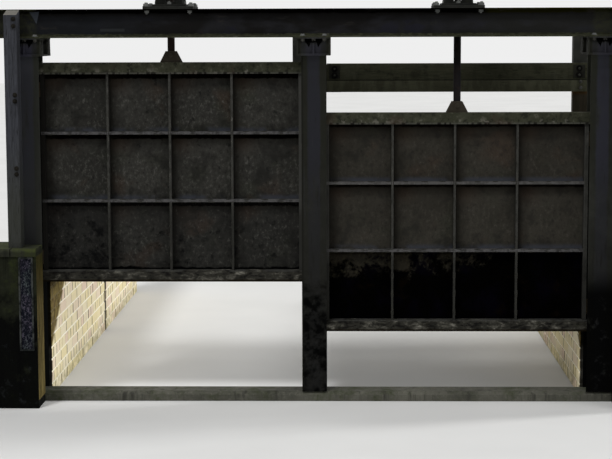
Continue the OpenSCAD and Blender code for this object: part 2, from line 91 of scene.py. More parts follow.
# bricks
COURSES = 12
BRICK_L, BRICK_W, JOINT = 0.215, 0.1025, 0.01
BRICK_PROUD, BRICK_SUNK, BRICK_CUT = 0.004, 0.006, 0.003
BRICK_PUSH = (-0.0015, 0.001)
SHORTEST_BRICK = 0.02

# a bolt's forms as shares of its thread size
HEAD_R, HEAD_H, HEAD_CUT, HEAD_TOP = 0.92, 0.8, 0.1, 0.86
WASHER_R, WASHER_H, WASHER_CUT = 1.08, 0.16, 0.7
THREAD_PITCH, THREAD_ROOT = 0.18, 0.84
HEAD_TURN = 0.3
ROUND = 20
UP, DOWN, UPSTREAM, DOWNSTREAM = (0, 0, 1), (0, 0, -1), (0, -1, 0), (0, 1, 0)

# thread sizes of the fasteners and their places
SADDLE_BOLT, SADDLE_BOLT_OUT, SADDLE_BOLT_EDGE = 0.013, 0.066, 0.022
FLAT_WASHER = [(0.018, 0), (0.018, 0.003), (0.015, 0.004)]
FLAT_HEAD = [(0.014, 0.004), (0.014, 0.009), (0.011, 0.012)]
FLAT_HEAD_TURN = 9
PLATE_BOLT, PLATE_NUT, PLATE_BOLT_OUT, PLATE_NUT_SHARE, PLATE_BOLT_EDGE = 0.017, 0.016, 0.136, 0.96, 0.024
FOOT_BOLT, FOOT_BOLT_EDGE, FOOT_PLATE = 0.014, 0.022, 0.014
COVER_BOLT, COVER_BOLTS, COVER_BOLT_R, COVER_TOP = 0.01, 8, 0.1135, 0.104
POST_BOLT, POST_BOLT_IN = 0.013, 0.021
POST_BOLT_Z = (2.365, 2.323, 1.91, 1.873, 1.467, 1.431)
CLEATS = ((0.088, 0.158), (1.652, 1.727), (-0.232, -0.162), (-1.846, -1.793))
CLEAT_Z, CLEAT_T, CLEAT_CUT = (1.985, 2.07), 0.005, 0.001
CLEAT_BOLT, CLEAT_BOLT_Z = 0.009, (CLEAT_Z[0] + 0.019, CLEAT_Z[1] - 0.024)
CLEAT_WASHER = [(0.02, 0), (0.02, 0.003)]
LOW_BOLT, LOW_BOLT_X, LOW_BOLT_Z = 0.011, (1.7, -1.82), (1.962, 1.923)
SEAL_BOLT, SEAL_BOLTS, SEAL_BOLT_EDGE = 0.007, 9, 0.018
SEAL_BOLT_START, SEAL_BOLT_PITCH = 0.09, 0.148

# weld stitches
WELD_Y = 0.0006
WELD_LENGTH = (0.03, 0.046)
WELD_LUMPS = (0.75, 1.15)
WELD_RING, WELD_RING_STEP = 6, 0.02
LEVEL_WELD_R, LEVEL_WELD_PITCH, LEVEL_WELD_GAPS = 0.0032, 0.11, (0.03, 0.07)
UPRIGHT_WELD_R, UPRIGHT_WELD_PITCH, UPRIGHT_WELD_GAPS = 0.003, 0.115, (0.03, 0.06)
WELD_SMOOTH = math.radians(50)

# screw stems
STEM_R, STEM_ROOT_R, STEM_PITCH = 0.0225, 0.0192, 0.01
STEM_FOOT = 0.014
THREAD_START = 0.48
COLLAR_R, COLLAR_H = 0.035, 0.024
STEM_SIDES = 28
STEM_CUT = 0.002
STEM_SMOOTH = math.radians(35)

# light and floor
FLOOR_DARK, FLOOR_LIGHT = (660, 660, 650), (700, 700, 690)
FLOOR_HALF, FLOOR_Z = 70.0, -0.001
WORLD_LIGHT, WORLD_SEEN = 0.42, 0.86
SUNS = (("key", (38, 0, -28), 1.5, 14), ("fill", (62, 0, 55), 0.5, 40), ("side", (62, 0, 106), 1.7, 10))

# camera, fitted to the photo
CAMERA_AT = (0.194, -10.4, 2.267)
CAMERA_DOWN = 0.11495
CAMERA_LEFT = 0.02365
CAMERA_ROLL = -0.00339
FOCAL_PX = 1689.2
FRAME_W_PX = 612
SENSOR_MM = 36.0
CLIP_END = 200.0


class Leaf:
    """Where the parts of one leaf lie at rest."""

    def __init__(self, side):
        self.side = side
        self.body = "leaf_" + side
        lo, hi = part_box("top_member_" + side)
        self.top = hi.z
        self.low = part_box("bottom_bar_" + side)[0].z
        self.x0, self.x1 = lo.x, hi.x
        self.middle = (lo.x + hi.x) / 2
        pitch = (hi.x - lo.x) / 2 * RIB_SHARE
        centre = self.middle - RIB_SHIFT
        self.end_ribs = [self.x0 + END_RIB_LEFT, self.x1 - END_RIB_RIGHT]
        self.inner_ribs = [centre - pitch, centre, centre + pitch]
        self.ribs = [self.end_ribs[0], *self.inner_ribs, self.end_ribs[1]]


LEAVES = {side: Leaf(side) for side, _ in SIDES}


def add_object(name, data):
    obj = bpy.data.objects.new(name, data)
    bpy.context.scene.collection.objects.link(obj)
    return obj


class Shape:
    """Collects vertices and faces for one mesh, with a number per face."""

    def __init__(self):
        self.verts = []
        self.faces = []
        self.tones = []

    def add(self, verts, faces, matrix=None, tone=0.0):
        base = len(self.verts)
        for v in verts:
            self.verts.append(matrix @ Vector(v) if matrix else Vector(v))
        for f in faces:
            self.faces.append([base + i for i in f])
            self.tones.append(tone)

    def tube(self, rings, matrix=None):
        """A closed form through rings of points, all with the same number of points."""
        count = len(rings[0])
        verts = [point for ring in rings for point in ring]
        faces = []
        for low in range(0, len(verts) - count, count):
            for i in range(count):
                j = (i + 1) % count
                faces.append((low + i, low + j, low + count + j, low + count + i))
        faces.append(tuple(reversed(range(count))))
        faces.append(tuple(range(len(verts) - count, len(verts))))
        self.add(verts, faces, matrix)

    def lathe(self, profile, sides, matrix, turn=0.0):
        """A closed form from (radius, height) pairs round Z, with that many flat sides."""
        angles = [turn + 2 * math.pi * i / sides for i in range(sides)]
        rings = [[(r * math.cos(a), r * math.sin(a), height) for a in angles] for r, height in profile]
        self.tube(rings, matrix)

    def make(self, name, material, slot, body="works", smooth=None):
        mesh = bpy.data.meshes.new(name)
        mesh.from_pydata(self.verts, [], self.faces)
        tone = mesh.attributes.new("tone", "FLOAT", "FACE")
        tone.data.foreach_set("value", self.tones)
        mesh.update()
        obj = add_object(name, mesh)
        obj.data.materials.append(M[material])
        if smooth:
            mesh.shade_smooth()
            mesh.set_sharp_from_angle(angle=smooth)
        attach(obj, body)
        return obj


def chamfer_box(lo, hi, cut):
    """Vertices and faces of a box whose edges and corners are cut back at 45 degrees.

    Each corner of the box has three vertices, one for each axis.
    """
    lo, hi = Vector(lo), Vector(hi)
    axes = ((0, 1, 2), (1, 2, 0), (2, 0, 1))
    verts, faces = [], []
    for corner in range(8):
        high = [(corner >> k) & 1 for k in range(3)]
        for axis in range(3):
            inset = [0 if k == axis else cut for k in range(3)]
            verts.append([hi[k] - inset[k] if high[k] else lo[k] + inset[k] for k in range(3)])
    for axis, b, c in axes:
        for high in (0, 1):
            corners = [(high << axis) | (sb << b) | (sc << c) for sb, sc in ((0, 0), (1, 0), (1, 1), (0, 1))]
            loop = [3 * corner + axis for corner in corners]
            faces.append(loop if high else loop[::-1])
    for axis, b, c in axes:
        for sb, sc in ((0, 0), (0, 1), (1, 0), (1, 1)):
            low = (sb << b) | (sc << c)
            high = low | (1 << axis)
            loop = [3 * low + b, 3 * high + b, 3 * high + c, 3 * low + c]
            faces.append(loop if sb != sc else loop[::-1])
    for corner in range(8):
        loop = [3 * corner + k for k in range(3)]
        odd = bin(corner).count("1") % 2
        faces.append(loop if odd else loop[::-1])
    return verts, faces


def along(point, direction):
    """A matrix that puts local Z along direction, at point."""
    turn = Vector(direction).to_track_quat("Z", "Y").to_matrix().to_4x4()
    return Matrix.Translation(Vector(point)) @ turn


def bolt(shape, point, direction, size, washer=True, end=0.0):
    """A hexagon head or nut of the thread size, standing on point; end is thread past the nut."""
    m = along(point, direction)
    flat = size * HEAD_R
    rise = 0.0
    if washer:
        rise = size * WASHER_H
        shape.lathe([(size * WASHER_R, 0), (size * WASHER_R, rise * WASHER_CUT), (size, rise)], ROUND, m)
    top = rise + size * HEAD_H
    shape.lathe([(flat, rise), (flat, top - size * HEAD_CUT), (flat * HEAD_TOP, top)], 6, m, HEAD_TURN)
    if end:
        half = size / 2
        pitch = size * THREAD_PITCH
        profile = [(half, top - 0.001)]
        z = top
        while z < top + end:
            profile += [(half, z + pitch * 0.2), (half * THREAD_ROOT, z + pitch * 0.6)]
            z += pitch
        profile += [(half * 0.8, z + pitch * 0.3)]
        shape.lathe(profile, 12, m)


class Tree:
    """Short calls for adding nodes to a node tree and joining them."""

    def __init__(self, tree):
        self.tree = tree

    def put(self, socket, value):
        if isinstance(value, bpy.types.NodeSocket):
            self.tree.links.new(value, socket)
        else:
            socket.default_value = value

    def new(self, kind, inputs=(), **props):
        """The outputs of a new node with that value or link on each input."""
        node = self.tree.nodes.new(kind)
        for key, value in props.items():
            setattr(node, key, value)
        for key, value in dict(inputs).items():
            self.put(node.inputs[key], value)
        return node.outputs

    def math(self, op, *values):
        return self.new("ShaderNodeMath", enumerate(values), operation=op)[0]

    def chain(self, op, parts):
        out = parts[0]
        for part in parts[1:]:
            out = self.math(op, out, part)
        return out

    def times(self, *parts):
        return self.chain("MULTIPLY", parts)

    def most(self, *parts):
        return self.chain("MAXIMUM", parts)


class Nodes(Tree):
    """Short calls for building one procedural material; colour is what has been laid on so far."""

    def __init__(self, name):
        self.mat = bpy.data.materials.new(name)
        self.mat.use_nodes = True
        super().__init__(self.mat.node_tree)
        self.shader = self.tree.nodes["Principled BSDF"]
        self.coords = self.new("ShaderNodeTexCoord")["Object"]
        self.normal = self.new("ShaderNodeNewGeometry")["Normal"]
        self.x, self.y, self.z = self.new("ShaderNodeSeparateXYZ", {0: self.coords})
        self.nx, self.ny, self.nz = self.new("ShaderNodeSeparateXYZ", {0: self.normal})
        self.colour = self.fine = self.height = None

    def noise(self, scale, detail=4, rough=0.6, distort=0, stretch=None):
        vector = self.coords
        if stretch:
            vector = self.new("ShaderNodeMapping", {"Scale": stretch, "Vector": vector})["Vector"]
        inputs = {"Scale": scale, "Detail": detail, "Roughness": rough, "Distortion": distort}
        return self.new("ShaderNodeTexNoise", {**inputs, "Vector": vector})["Fac"]

    def spots(self, low, high, *noise, **stretch):
        """Noise that is 0 up to low and 1 from high on, or the other way round."""
        return self.ramp(self.noise(*noise, **stretch), low, high)

    def ramp(self, value, low, high, kind="SMOOTHSTEP"):
        """0 at low and 1 at high, whichever is the larger."""
        start, end = sorted((low, high))
        inputs = {"Value": value, "From Min": start, "From Max": end, "To Min": float(low > high),
                  "To Max": float(low < high)}
        return self.new("ShaderNodeMapRange", inputs, clamp=True, interpolation_type=kind)["Result"]

    def fma(self, value, factor, plus):
        """value * factor + plus"""
        return self.math("MULTIPLY_ADD", value, factor, plus)

    def minus(self, a, b):
        return self.math("SUBTRACT", a, b)

    def less(self, a, b):
        return self.math("LESS_THAN", a, b)

    def more(self, a, b):
        return self.math("GREATER_THAN", a, b)

    def size(self, a):
        return self.math("ABSOLUTE", a)

    def up(self, low, high):
        """0 at the height low and 1 at high."""
        return self.ramp(self.z, low, high)

    def near(self, gap, width):
        """1 where the gap is 0, falling to 0 a width further on, and 0 where it is negative."""
        return self.times(self.ramp(gap, width, 0.0), self.more(gap, -0.001))

    def after(self, value, starts, width):
        """1 just past any of the starts and 0 a width further on."""
        return self.most(*[self.near(self.minus(value, start), width) for start in starts])

    def before(self, value, ends, width):
        """1 just short of any of the ends and 0 a width earlier."""
        return self.most(*[self.near(self.minus(end, value), width) for end in ends])

    def within(self, value, low, high):
        """1 between low and high."""
        return self.times(self.more(value, low), self.less(value, high))

    def mix(self, share, a, b):
        """From a to b, which are sockets or colours in thousandths."""
        inputs = {0: share, 6: a, 7: b}
        for key, value in ((6, a), (7, b)):
            if not isinstance(value, bpy.types.NodeSocket):
                inputs[key] = (*(c / 1000 for c in value), 1.0)
        return self.new("ShaderNodeMix", inputs, data_type="RGBA")[2]

    def lay(self, colour, *shares):
        """Lays a colour over the one that is there, by the product of the shares."""
        self.colour = self.mix(self.times(*shares), self.colour, colour)

    def edge_wear(self):
        """1 near convex edges, broken up by noise."""
        bevel = self.new("ShaderNodeBevel", {"Radius": 0.006}, samples=6)[0]
        turn = self.new("ShaderNodeVectorMath", {0: bevel, 1: self.normal}, operation="DOT_PRODUCT")["Value"]
        return self.times(self.ramp(turn, 0.995, 0.9), self.spots(0.35, 0.6, 60, 3))

    def finish(self, rough, specular, bump=0.0, distance=0.002, metallic=0.0):
        """Joins it all to the shader, with a bump where there is a height."""
        for name, value in (("Base Color", self.colour), ("Roughness", rough), ("Metallic", metallic),
                            ("Specular IOR Level", specular)):
            self.put(self.shader.inputs[name], value)
        if self.height is not None:
            inputs = {"Strength": bump, "Distance": distance, "Height": self.height}
            self.put(self.shader.inputs["Normal"], self.new("ShaderNodeBump", inputs)["Normal"])
        return self.mat


# colours, linear and in thousandths as in all materials, and shares that several materials use
BLACK = (1.6, 1.6, 1.6)
OLIVE = (26, 27.5, 13.5)
RUST = (34, 15, 6.5)
DULL = 0.1


def steel(name, base, light, algae_share=0.5, rust_share=0.3, wear=0.5):
    """Old paint on steel: mottled, with rust blotches and runs, algae and worn edges."""
    n = Nodes(name)
    mottle = n.noise(9, 6, 0.65)
    n.fine = n.noise(85, 4, 0.7)
    n.colour = n.mix(n.ramp(mottle, 0.35, 0.7), base, light)
    n.lay([c * 1.9 for c in light], n.ramp(n.fine, 0.56, 0.76), n.ramp(mottle, 0.42, 0.62), 0.55)
    runs = n.noise(5, 5, 0.7, stretch=(7, 7, 0.55))
    rusty = n.times(n.spots(0.66 - 0.16 * rust_share, 0.8, 4.3, 7, 0.72, 0.6), n.ramp(runs, 0.35, 0.62))
    n.lay(RUST, rusty, 0.8)
    green = n.most(n.times(n.ramp(n.nz, 0.1, 0.9), 0.85), n.ramp(runs, 0.62, 0.36))
    n.lay(OLIVE, green, n.spots(0.66 - 0.3 * algae_share, 0.8, 16, 6, 0.7), 0.8)
    n.lay([c * 2.2 + 8 for c in light], n.edge_wear(), wear)
    n.height = n.fma(rusty, 0.8, n.fma(n.fine, 0.35, mottle))
    return n


def steel_finish(n, bump=0.35, dirt_or_shade=None):
    """The dirt-or-shade share is 1 where a surface is so dirty that it reflects nothing, or lies in painted
    shade.
    """
    specular = n.fma(dirt_or_shade, -DULL, DULL) if dirt_or_shade else DULL
    return n.finish(n.fma(n.fine, 0.18, 0.72), specular, bump, 0.0012)


# where the front beam's painted shade under its top flange ends, and where its painted light patch and its
# streak lie
FLANGE_SHADE_END = 1.04
LIGHT_PATCH_TOP, LIGHT_PATCH_POINT = (-1.73, -1.664, 2.416), (-1.684, 2.338)
STREAK_X, STREAK_Z = (-1.297, -1.149), (2.288, 2.306)


def painted_light_patch(n):
    """A painted patch of light, pale and three-cornered, near the left end of the front beam."""
    left, right, top = LIGHT_PATCH_TOP
    point_x, point_z = LIGHT_PATCH_POINT
    wavy = n.fma(n.noise(40, 4, 0.7), 0.016, n.z)
    fall = n.math("DIVIDE", n.minus(top, wavy), top - point_z)
    past_left = n.minus(n.x, n.fma(fall, point_x - left, left))
    short_right = n.minus(n.fma(fall, point_x - right, right), n.x)
    front = n.less(n.y, (BEAM_LO.y + BEAM_HI.y) / 2)
    return n.times(n.ramp(past_left, 0, 0.006), n.ramp(short_right, 0, 0.006), n.within(fall, 0, 1), front)


def beam_web(n, cloud):
    """Blue and black blocks, darker at the left, paler at the right end, with soft painted shade below the
    top flange.
    """
    n.lay((8, 8.1, 13.5), n.spots(0.52, 0.6, 6, 3, 0.5, stretch=(1, 1, 1.6)), n.ramp(cloud, 0.45, 0.6), 0.7)
    n.lay((2.6, 2.3, 1.9), n.ramp(cloud, 0.54, 0.42), 0.88)
    n.lay((5.2, 6.4, 8.4), n.ramp(n.x, -0.8, -1.4), 0.6)
    # painted shade: soft darkening below the top flange, left of the right end
    n.lay((2, 2, 2), n.up(BEAM_HI.z - 0.085, BEAM_HI.z - 0.03), n.ramp(n.x, 0.9, 0.6), 0.35)
    n.lay((15, 15.6, 14.2), n.ramp(n.x, 0.7, 1.2), 0.45)
    n.lay((21.5, 23.2, 25), n.within(n.x, *STREAK_X), n.within(n.z, *STREAK_Z), n.ramp(cloud, 0.3, 0.45), 0.6)


def beam_flange_shade(n, front):
    """The ragged black band of painted shade under the top flange; gives where it lies."""
    ragged = n.fma(n.noise(14, 4, 0.7), 0.02, n.z)
    # painted shade: soft black just below the top flange
    n.lay((1.6, 1.4, 1.1), front, n.ramp(ragged, BEAM_HI.z - 0.04, BEAM_HI.z - 0.02),
          n.fma(n.ramp(n.x, 0.9, 1.1), -0.4, 0.9))
    right_end = n.ramp(n.x, FLANGE_SHADE_END - 0.03, FLANGE_SHADE_END + 0.03)
    band = n.times(front, n.ramp(ragged, BEAM_HI.z - 0.022, BEAM_HI.z - 0.012))
    n.lay(n.mix(right_end, (0.7, 0.6, 0.4), (9.2, 8.8, 1)), band, 0.96)
    return band


def beam_steel():
    """Blue-grey web, a black band of painted shade under the top flange, an olive strip along the lower
    flange.
    """
    n = steel("beam_steel", (6.2, 6.3, 6.8), (10.8, 10.8, 12.6), 0.2, 0.1, 0.2)
    cloud = n.noise(2.2, stretch=(1, 1, 2.5))
    front = n.minus(1, n.ramp(n.nz, 0.2, 0.9))
    beam_web(n, cloud)
    band = beam_flange_shade(n, front)
    moss = n.noise(38, 5, 0.7)
    edge = n.mix(n.ramp(moss, 0.4, 0.66), (16, 16.8, 9), (40, 42, 23))
    edge = n.mix(n.spots(0.6, 0.7, 24, 3), edge, (62, 61, 44))
    n.lay(edge, n.less(n.z, n.fma(n.noise(30, 4, 0.7), 0.022, BEAM_LO.z + 0.012)), 0.9)
    n.lay((19, 20, 10.5), n.ramp(n.size(n.x), BAY - 0.085, BAY - 0.045), n.ramp(moss, 0.3, 0.6), 0.75)
    n.lay((20, 18, 16), n.spots(0.62, 0.7, 5, stretch=(1, 1, 3.5)), front, 0.6)
    # painted light: the pale patch near the left end of the web
    n.lay((46, 53, 66), painted_light_patch(n), n.ramp(cloud, 0.15, 0.4), 0.8)
    return steel_finish(n, 0.3, band)


def from_column(n):
    """Distance from the middle of the nearest column."""
    turn = n.math("FRACT", n.fma(n.x, 1 / BAY, 2.5))
    return n.times(n.size(n.minus(turn, 0.5)), BAY)


def column_steel():
    """Olive flange edges, a painted reflection as a blue-grey middle stripe, black and wet towards the foot,
    side faces in painted shade low down; painted light and shade even out the three columns.
    """
    n = steel("column_steel", (13.5, 14, 11.5), (21.5, 22.2, 18.5), 0.35, 0.25, 0.3)
    off = from_column(n)
    waver = n.fma(n.noise(6), 0.03, off)
    high = n.up(1.2, 1.6)
    # painted reflection: the blue-grey stripe down the middle of each flange
    stripe = n.times(n.ramp(waver, 0.06, 0.044), n.spots(0.26, 0.46, 3, stretch=(3, 3, 0.7)))
    n.lay((10, 10.7, 6.6), n.ramp(waver, 0.044, 0.06), high, 0.6)
    n.lay((19.5, 20.2, 29), stripe, n.fma(high, 0.45, 0.4))
    runs = n.noise(9, 5, 0.65, stretch=(3, 3, 0.3))
    n.lay((30, 30.5, 34), n.ramp(runs, 0.6, 0.7), 0.55)
    n.lay((6.8, 6.6, 5.2), n.ramp(runs, 0.42, 0.34), 0.6)
    middle = n.ramp(n.size(n.x), 0.2, 0.1)
    blots = n.fma(middle, -0.14, n.noise(11, 6, 0.7))
    wet = n.times(n.up(0.84, 0.66), n.ramp(blots, 0.25, 0.46))
    n.lay((4.2, 4.3, 4), middle, n.up(0.8, 0.68), 0.7)
    n.lay((7.5, 7.5, 5.8), n.up(1.25, 0.7), 0.45)
    n.lay(BLACK, wet, 0.92)
    # painted light: the tops of the columns lightened where the beams shade them
    n.lay(n.mix(stripe, (29, 31, 22), (40, 41.5, 52)), n.up(2, 2.11), 0.75)
    # painted shade: a dark line along the middle column's left flange edge, at the leaf groove
    n.lay((5, 5.2, 3.6), n.ramp(off, COLUMN_HALF - 0.014, COLUMN_HALF - 0.009), n.within(n.x, -0.2, 0), 0.75)
    # painted shade: the middle column darkened from 0.6 m up to match the side columns
    n.lay((5, 4.8, 3), middle, n.up(0.6, 0.8), 0.38)
    # painted light: the left column lightened where the timber post shades it
    n.lay((40, 42, 40), n.ramp(n.x, -BAY + 0.3, -BAY + 0.2), 0.22)
    # painted shade: the side faces below about a metre made black
    inner = n.times(n.more(n.size(n.nx), 0.7), n.up(1, 0.8))
    n.lay(BLACK, inner, 0.9)
    return steel_finish(n, dirt_or_shade=n.most(wet, inner))


def saddle_steel():
    """Dark steel, with painted light in blue low down, and painted shade in black inside the notches and at
    the open ends.
    """
    n = steel("saddle_steel", (9.2, 9.6, 9), (17.5, 18, 18.5))
    off = from_column(n)
    below = n.minus(BEAM_LO.z, n.z)
    wavy = n.fma(n.noise(40, 3), 0.016, below)
    # painted shade: black inside the notches
    notch_shade = n.times(n.within(wavy, 0.018, 0.04), n.ramp(off, 0.056, 0.046), n.more(n.x, -BAY - 0.018))
    # painted light: bluish low down in the middle of each saddle, where light falls into the notches
    blue = n.times(n.ramp(below, 0.03, 0.055), n.ramp(off, 0.06, 0.03))
    n.lay((20, 19.5, 29), blue, 0.55)
    n.lay((29, 28, 43), blue, n.less(n.x, -0.5), 0.5)
    n.lay((12, 12.2, 8), n.ramp(off, COLUMN_HALF - 0.004, COLUMN_HALF + 0.004), 0.8)
    # painted shade: black at the open ends of the saddles
    far = n.times(n.ramp(off, COLUMN_HALF + 0.026, COLUMN_HALF + 0.034), n.ramp(n.size(n.x), 0.2, 0.3))
    dark = n.most(n.times(notch_shade, 0.95), n.times(far, 0.98))
    n.lay(BLACK, dark)
    return steel_finish(n, dirt_or_shade=dark)


# per leaf: dark and light plate, pale flecks, and the shares of flecks, clouds and black spots
SKIN_TONES = {
    "left": ((15.8, 15.5, 13.2), (24.5, 23.9, 20.5), (70, 69, 61), 0.88, 0.75, 0.75),
    "right": ((18, 16.4, 12.5), (26.5, 24.2, 18.8), (52, 48, 40), 0.6, 0.6, 0.35),
}
# per leaf: where the painted shadow under the level ribs starts and is full, and its share
RIB_SHADOW_SPREAD = {"left": (0.12, 0.35, 0.97), "right": (0.3, 0.7, 0.88)}
FLAKE_SHARE = {"left": 0.85, "right": 0.45}


def skin_plate(n, leaf, down):
    """Grey-brown plate with a fine mottle, paler towards the foot of each panel; gives the flecks."""
    dark, light, pale_fleck, fleck_share, cloud_share, spot_share = SKIN_TONES[leaf.side]
    fleck = n.noise(40, 8, 0.78, 0.2, stretch=(1.15, 1, 0.8))
    cloud = n.noise(9, 5, 0.68)
    n.colour = n.mix(n.spots(0.34, 0.64, 2.7), dark, light)
    n.lay((19, 21, 14), n.spots(0.52, 0.74, 5, 3, 0.5), 0.5)
    n.lay((33, 22, 15), n.spots(0.56, 0.72, 3.6, 3, 0.5, 0.5), 0.6)
    rows = (n.less(down, RIB_1), n.within(down, *LEVEL_RIBS), n.more(down, RIB_2))
    low_part = n.most(*[n.times(n.ramp(n.minus(down, top), 0.03, 0.2), row)
                        for top, row in zip(PANEL_TOPS, rows)])
    n.lay((8.2, 8, 6.8), n.ramp(cloud, 0.5, 0.34), cloud_share)
    pale = n.times(n.ramp(fleck, 0.5, 0.66), n.ramp(cloud, 0.38, 0.58), n.fma(low_part, 0.8, 0.2))
    n.lay(pale_fleck, pale, fleck_share)
    n.lay((4.8, 4.5, 3.7), n.ramp(fleck, 0.47, 0.34), fleck_share)
    n.lay((2, 2, 1.9), n.spots(0.38, 0.3, 24, stretch=(1, 1, 0.8)), spot_share)
    return fleck


def skin_dirt_and_shade(n, leaf, down):
    """Dust above the level ribs, brown corners, a dark band under each panel's top that is part dirt and part
    painted shade, painted shadow under the level ribs and painted shade beside the upright ones.

    Gives where the painted shadow under the ribs is black.
    """
    dust = n.before(down, [level - LEVEL_RIB_T for level in LEVEL_RIBS], 0.038)
    n.lay((40, 44, 56), dust, n.spots(0.4, 0.58, 4), 0.85)
    n.lay((29, 16.5, 9.5), n.after(n.x, leaf.ribs, 0.2), n.after(down, PANEL_TOPS, 0.17), 0.75)
    wavy = n.fma(n.noise(9), 0.02, n.minus(down, 0.01))
    # part dirt, part painted shade: dark band below each panel's top
    n.lay((6.8, 4.8, 2.8), n.after(wavy, PANEL_TOPS, 0.065), 0.85)
    ragged = n.fma(n.noise(34, 4, 0.7), -0.026, n.math("ADD", down, 0.01))
    start, full, share = RIB_SHADOW_SPREAD[leaf.side]
    # painted shadow: black under the level ribs
    under = n.after(ragged, [top - 0.008 for top in PANEL_TOPS], 0.05)
    rib_shadow = n.times(n.ramp(under, start, full), share)
    n.lay((0.9, 0.6, 0.4), rib_shadow)
    # painted shade: darker beside the upright ribs, most on their right
    n.lay((5.5, 4.8, 3.2), n.after(n.x, leaf.ribs, 0.105), 0.7)
    n.lay((2, 1.7, 1), n.after(n.x, leaf.ribs, 0.024), 0.6)
    n.lay((6.4, 6.2, 5), n.before(n.x, leaf.ribs, 0.022), 0.6)
    return rib_shadow


def black_low_row(n, leaf, low_row, depth, fleck):
    """The right leaf's lowest panels, nearly black with a mottled tide line."""
    across = n.ramp(n.x, leaf.middle - 0.2, leaf.middle + 0.42)
    level = n.fma(across, 0.22, n.fma(depth, 0.3, n.noise(8, 8, 0.74, 0.2)))
    dark = n.times(low_row, n.ramp(level, 0.49, 0.62))
    deep = n.mix(n.spots(0.44, 0.7, 6, 3), (0.4, 0.4, 0.4), (0.9, 0.7, 2))
    deep = n.mix(n.spots(0.56, 0.74, 7.5), deep, (2.8, 1.7, 0.8))
    n.lay((6.8, 5.8, 3), low_row, 0.8)
    n.lay((21, 18.5, 10), low_row, n.ramp(level, 0.4, 0.5), n.ramp(fleck, 0.46, 0.6), 0.6)
    n.lay(deep, dark, 0.98)
    return dark


def spotted_low_row(n, leaf, low_row, depth, fleck):
    """The left leaf's lowest panels, darker than the rest and spotted, most of all the first."""
    in_first = n.ramp(n.x, leaf.inner_ribs[0] + 0.05, leaf.inner_ribs[0] - 0.05)
    level = n.fma(in_first, 0.07, n.fma(depth, 0.08, n.noise(15, 6, 0.7)))
    dark = n.times(low_row, n.ramp(level, 0.58, 0.78))
    n.lay((7, 7.1, 6.8), low_row, 0.35)
    n.lay((4.2, 4.2, 4.4), in_first, low_row, 0.4)
    n.lay((64, 61, 53), n.ramp(fleck, 0.55, 0.66), low_row, 0.45)
    n.lay((1.2, 1.2, 1.6), dark, 0.85)
    return n.times(dark, 0.6)


def skin_material(leaf):
    """Stained skin plate of a leaf."""
    n = Nodes("leaf_skin_" + leaf.side)
    n.fine = n.noise(95, 4, 0.7)
    down = n.minus(leaf.top, n.z)
    fleck = skin_plate(n, leaf, down)
    rib_shadow = skin_dirt_and_shade(n, leaf, down)
    paint_row = black_low_row if leaf.side == "right" else spotted_low_row
    low_row = n.more(down, RIB_2)
    dark = paint_row(n, leaf, low_row, n.ramp(down, RIB_2, RIB_2 + 0.3), fleck)
    foot = leaf.top - leaf.low - BOTTOM_BAR
    splash = n.fma(n.noise(14, 5, 0.7), 0.055, down)
    rim = n.times(n.ramp(splash, foot + 0.008, foot + 0.02), n.more(down, foot - 0.08))
    n.lay((0.5, 0.5, 0.7), rim, 0.97)
    n.height = n.fma(n.fine, 0.4, fleck)
    dirt_or_shade = n.most(dark, rim, rib_shadow)
    return n.finish(n.fma(n.fine, 0.2, 0.7), n.fma(dirt_or_shade, -DULL, DULL), 0.35, 0.0014)


def rib_material(leaf):
    """Level ribs pale and blue-grey, upright ribs darker, and painted shade deeper along the ribs towards the
    skin plate.
    """
    n = steel("leaf_ribs_" + leaf.side, (24, 24, 21.2), (39, 38.5, 34), 0.2)
    down = n.minus(leaf.top, n.z)
    level = n.most(*[n.within(down, low - LEVEL_RIB_T - 0.001, low + 0.001) for low in LEVEL_RIBS])
    level = n.times(level, n.less(n.x, leaf.end_ribs[1] - END_RIB_T / 2))
    upright = n.minus(1, level)
    pale = n.mix(n.spots(0.38, 0.58, 21, 5, 0.68), (24, 23.5, 23), (68, 66.5, 67))
    if leaf.side == "right":
        upper = n.less(down, RIB_1 + 0.01)
        pale = n.mix(n.times(upper, 0.35), pale, (76, 73, 68))
    pale = n.mix(n.times(n.spots(0.62, 0.7, 44, 3), 0.8), pale, (105, 101, 92))
    n.lay(pale, level, 0.92)
    n.lay((6.5, 6.2, 5), n.spots(0.56, 0.7, 8, 5, 0.65, stretch=(1, 1, 0.6)), upright, 0.75)
    n.lay((90, 87, 76), n.spots(0.57, 0.66, 36, 4, 0.7, stretch=(1, 1, 0.5)),
          n.spots(0.42, 0.54, 5, 3), upright, FLAKE_SHARE[leaf.side])
    # painted shade: the ribs darker towards the skin plate
    n.lay((8, 7.8, 6.4), n.ramp(n.y, 0.006, RIB_DEPTH), 0.6)
    if leaf.side == "left":
        # painted shade: the left leaf's first end rib, beside the column, near black
        first = n.less(n.x, leaf.end_ribs[0] + END_RIB_T / 2 + 0.001)
        n.lay((3.6, 3, 2.2), first, n.minus(1, n.times(level, 0.7)), 0.95)
        last = n.more(n.x, leaf.end_ribs[1] - END_RIB_T / 2 - 0.001)
        n.lay((50, 49.5, 45), last, 0.75)
    n.lay((9, 8.8, 7.2), n.ramp(down, RIB_2, RIB_2 + 0.1), 0.55)
    return steel_finish(n)


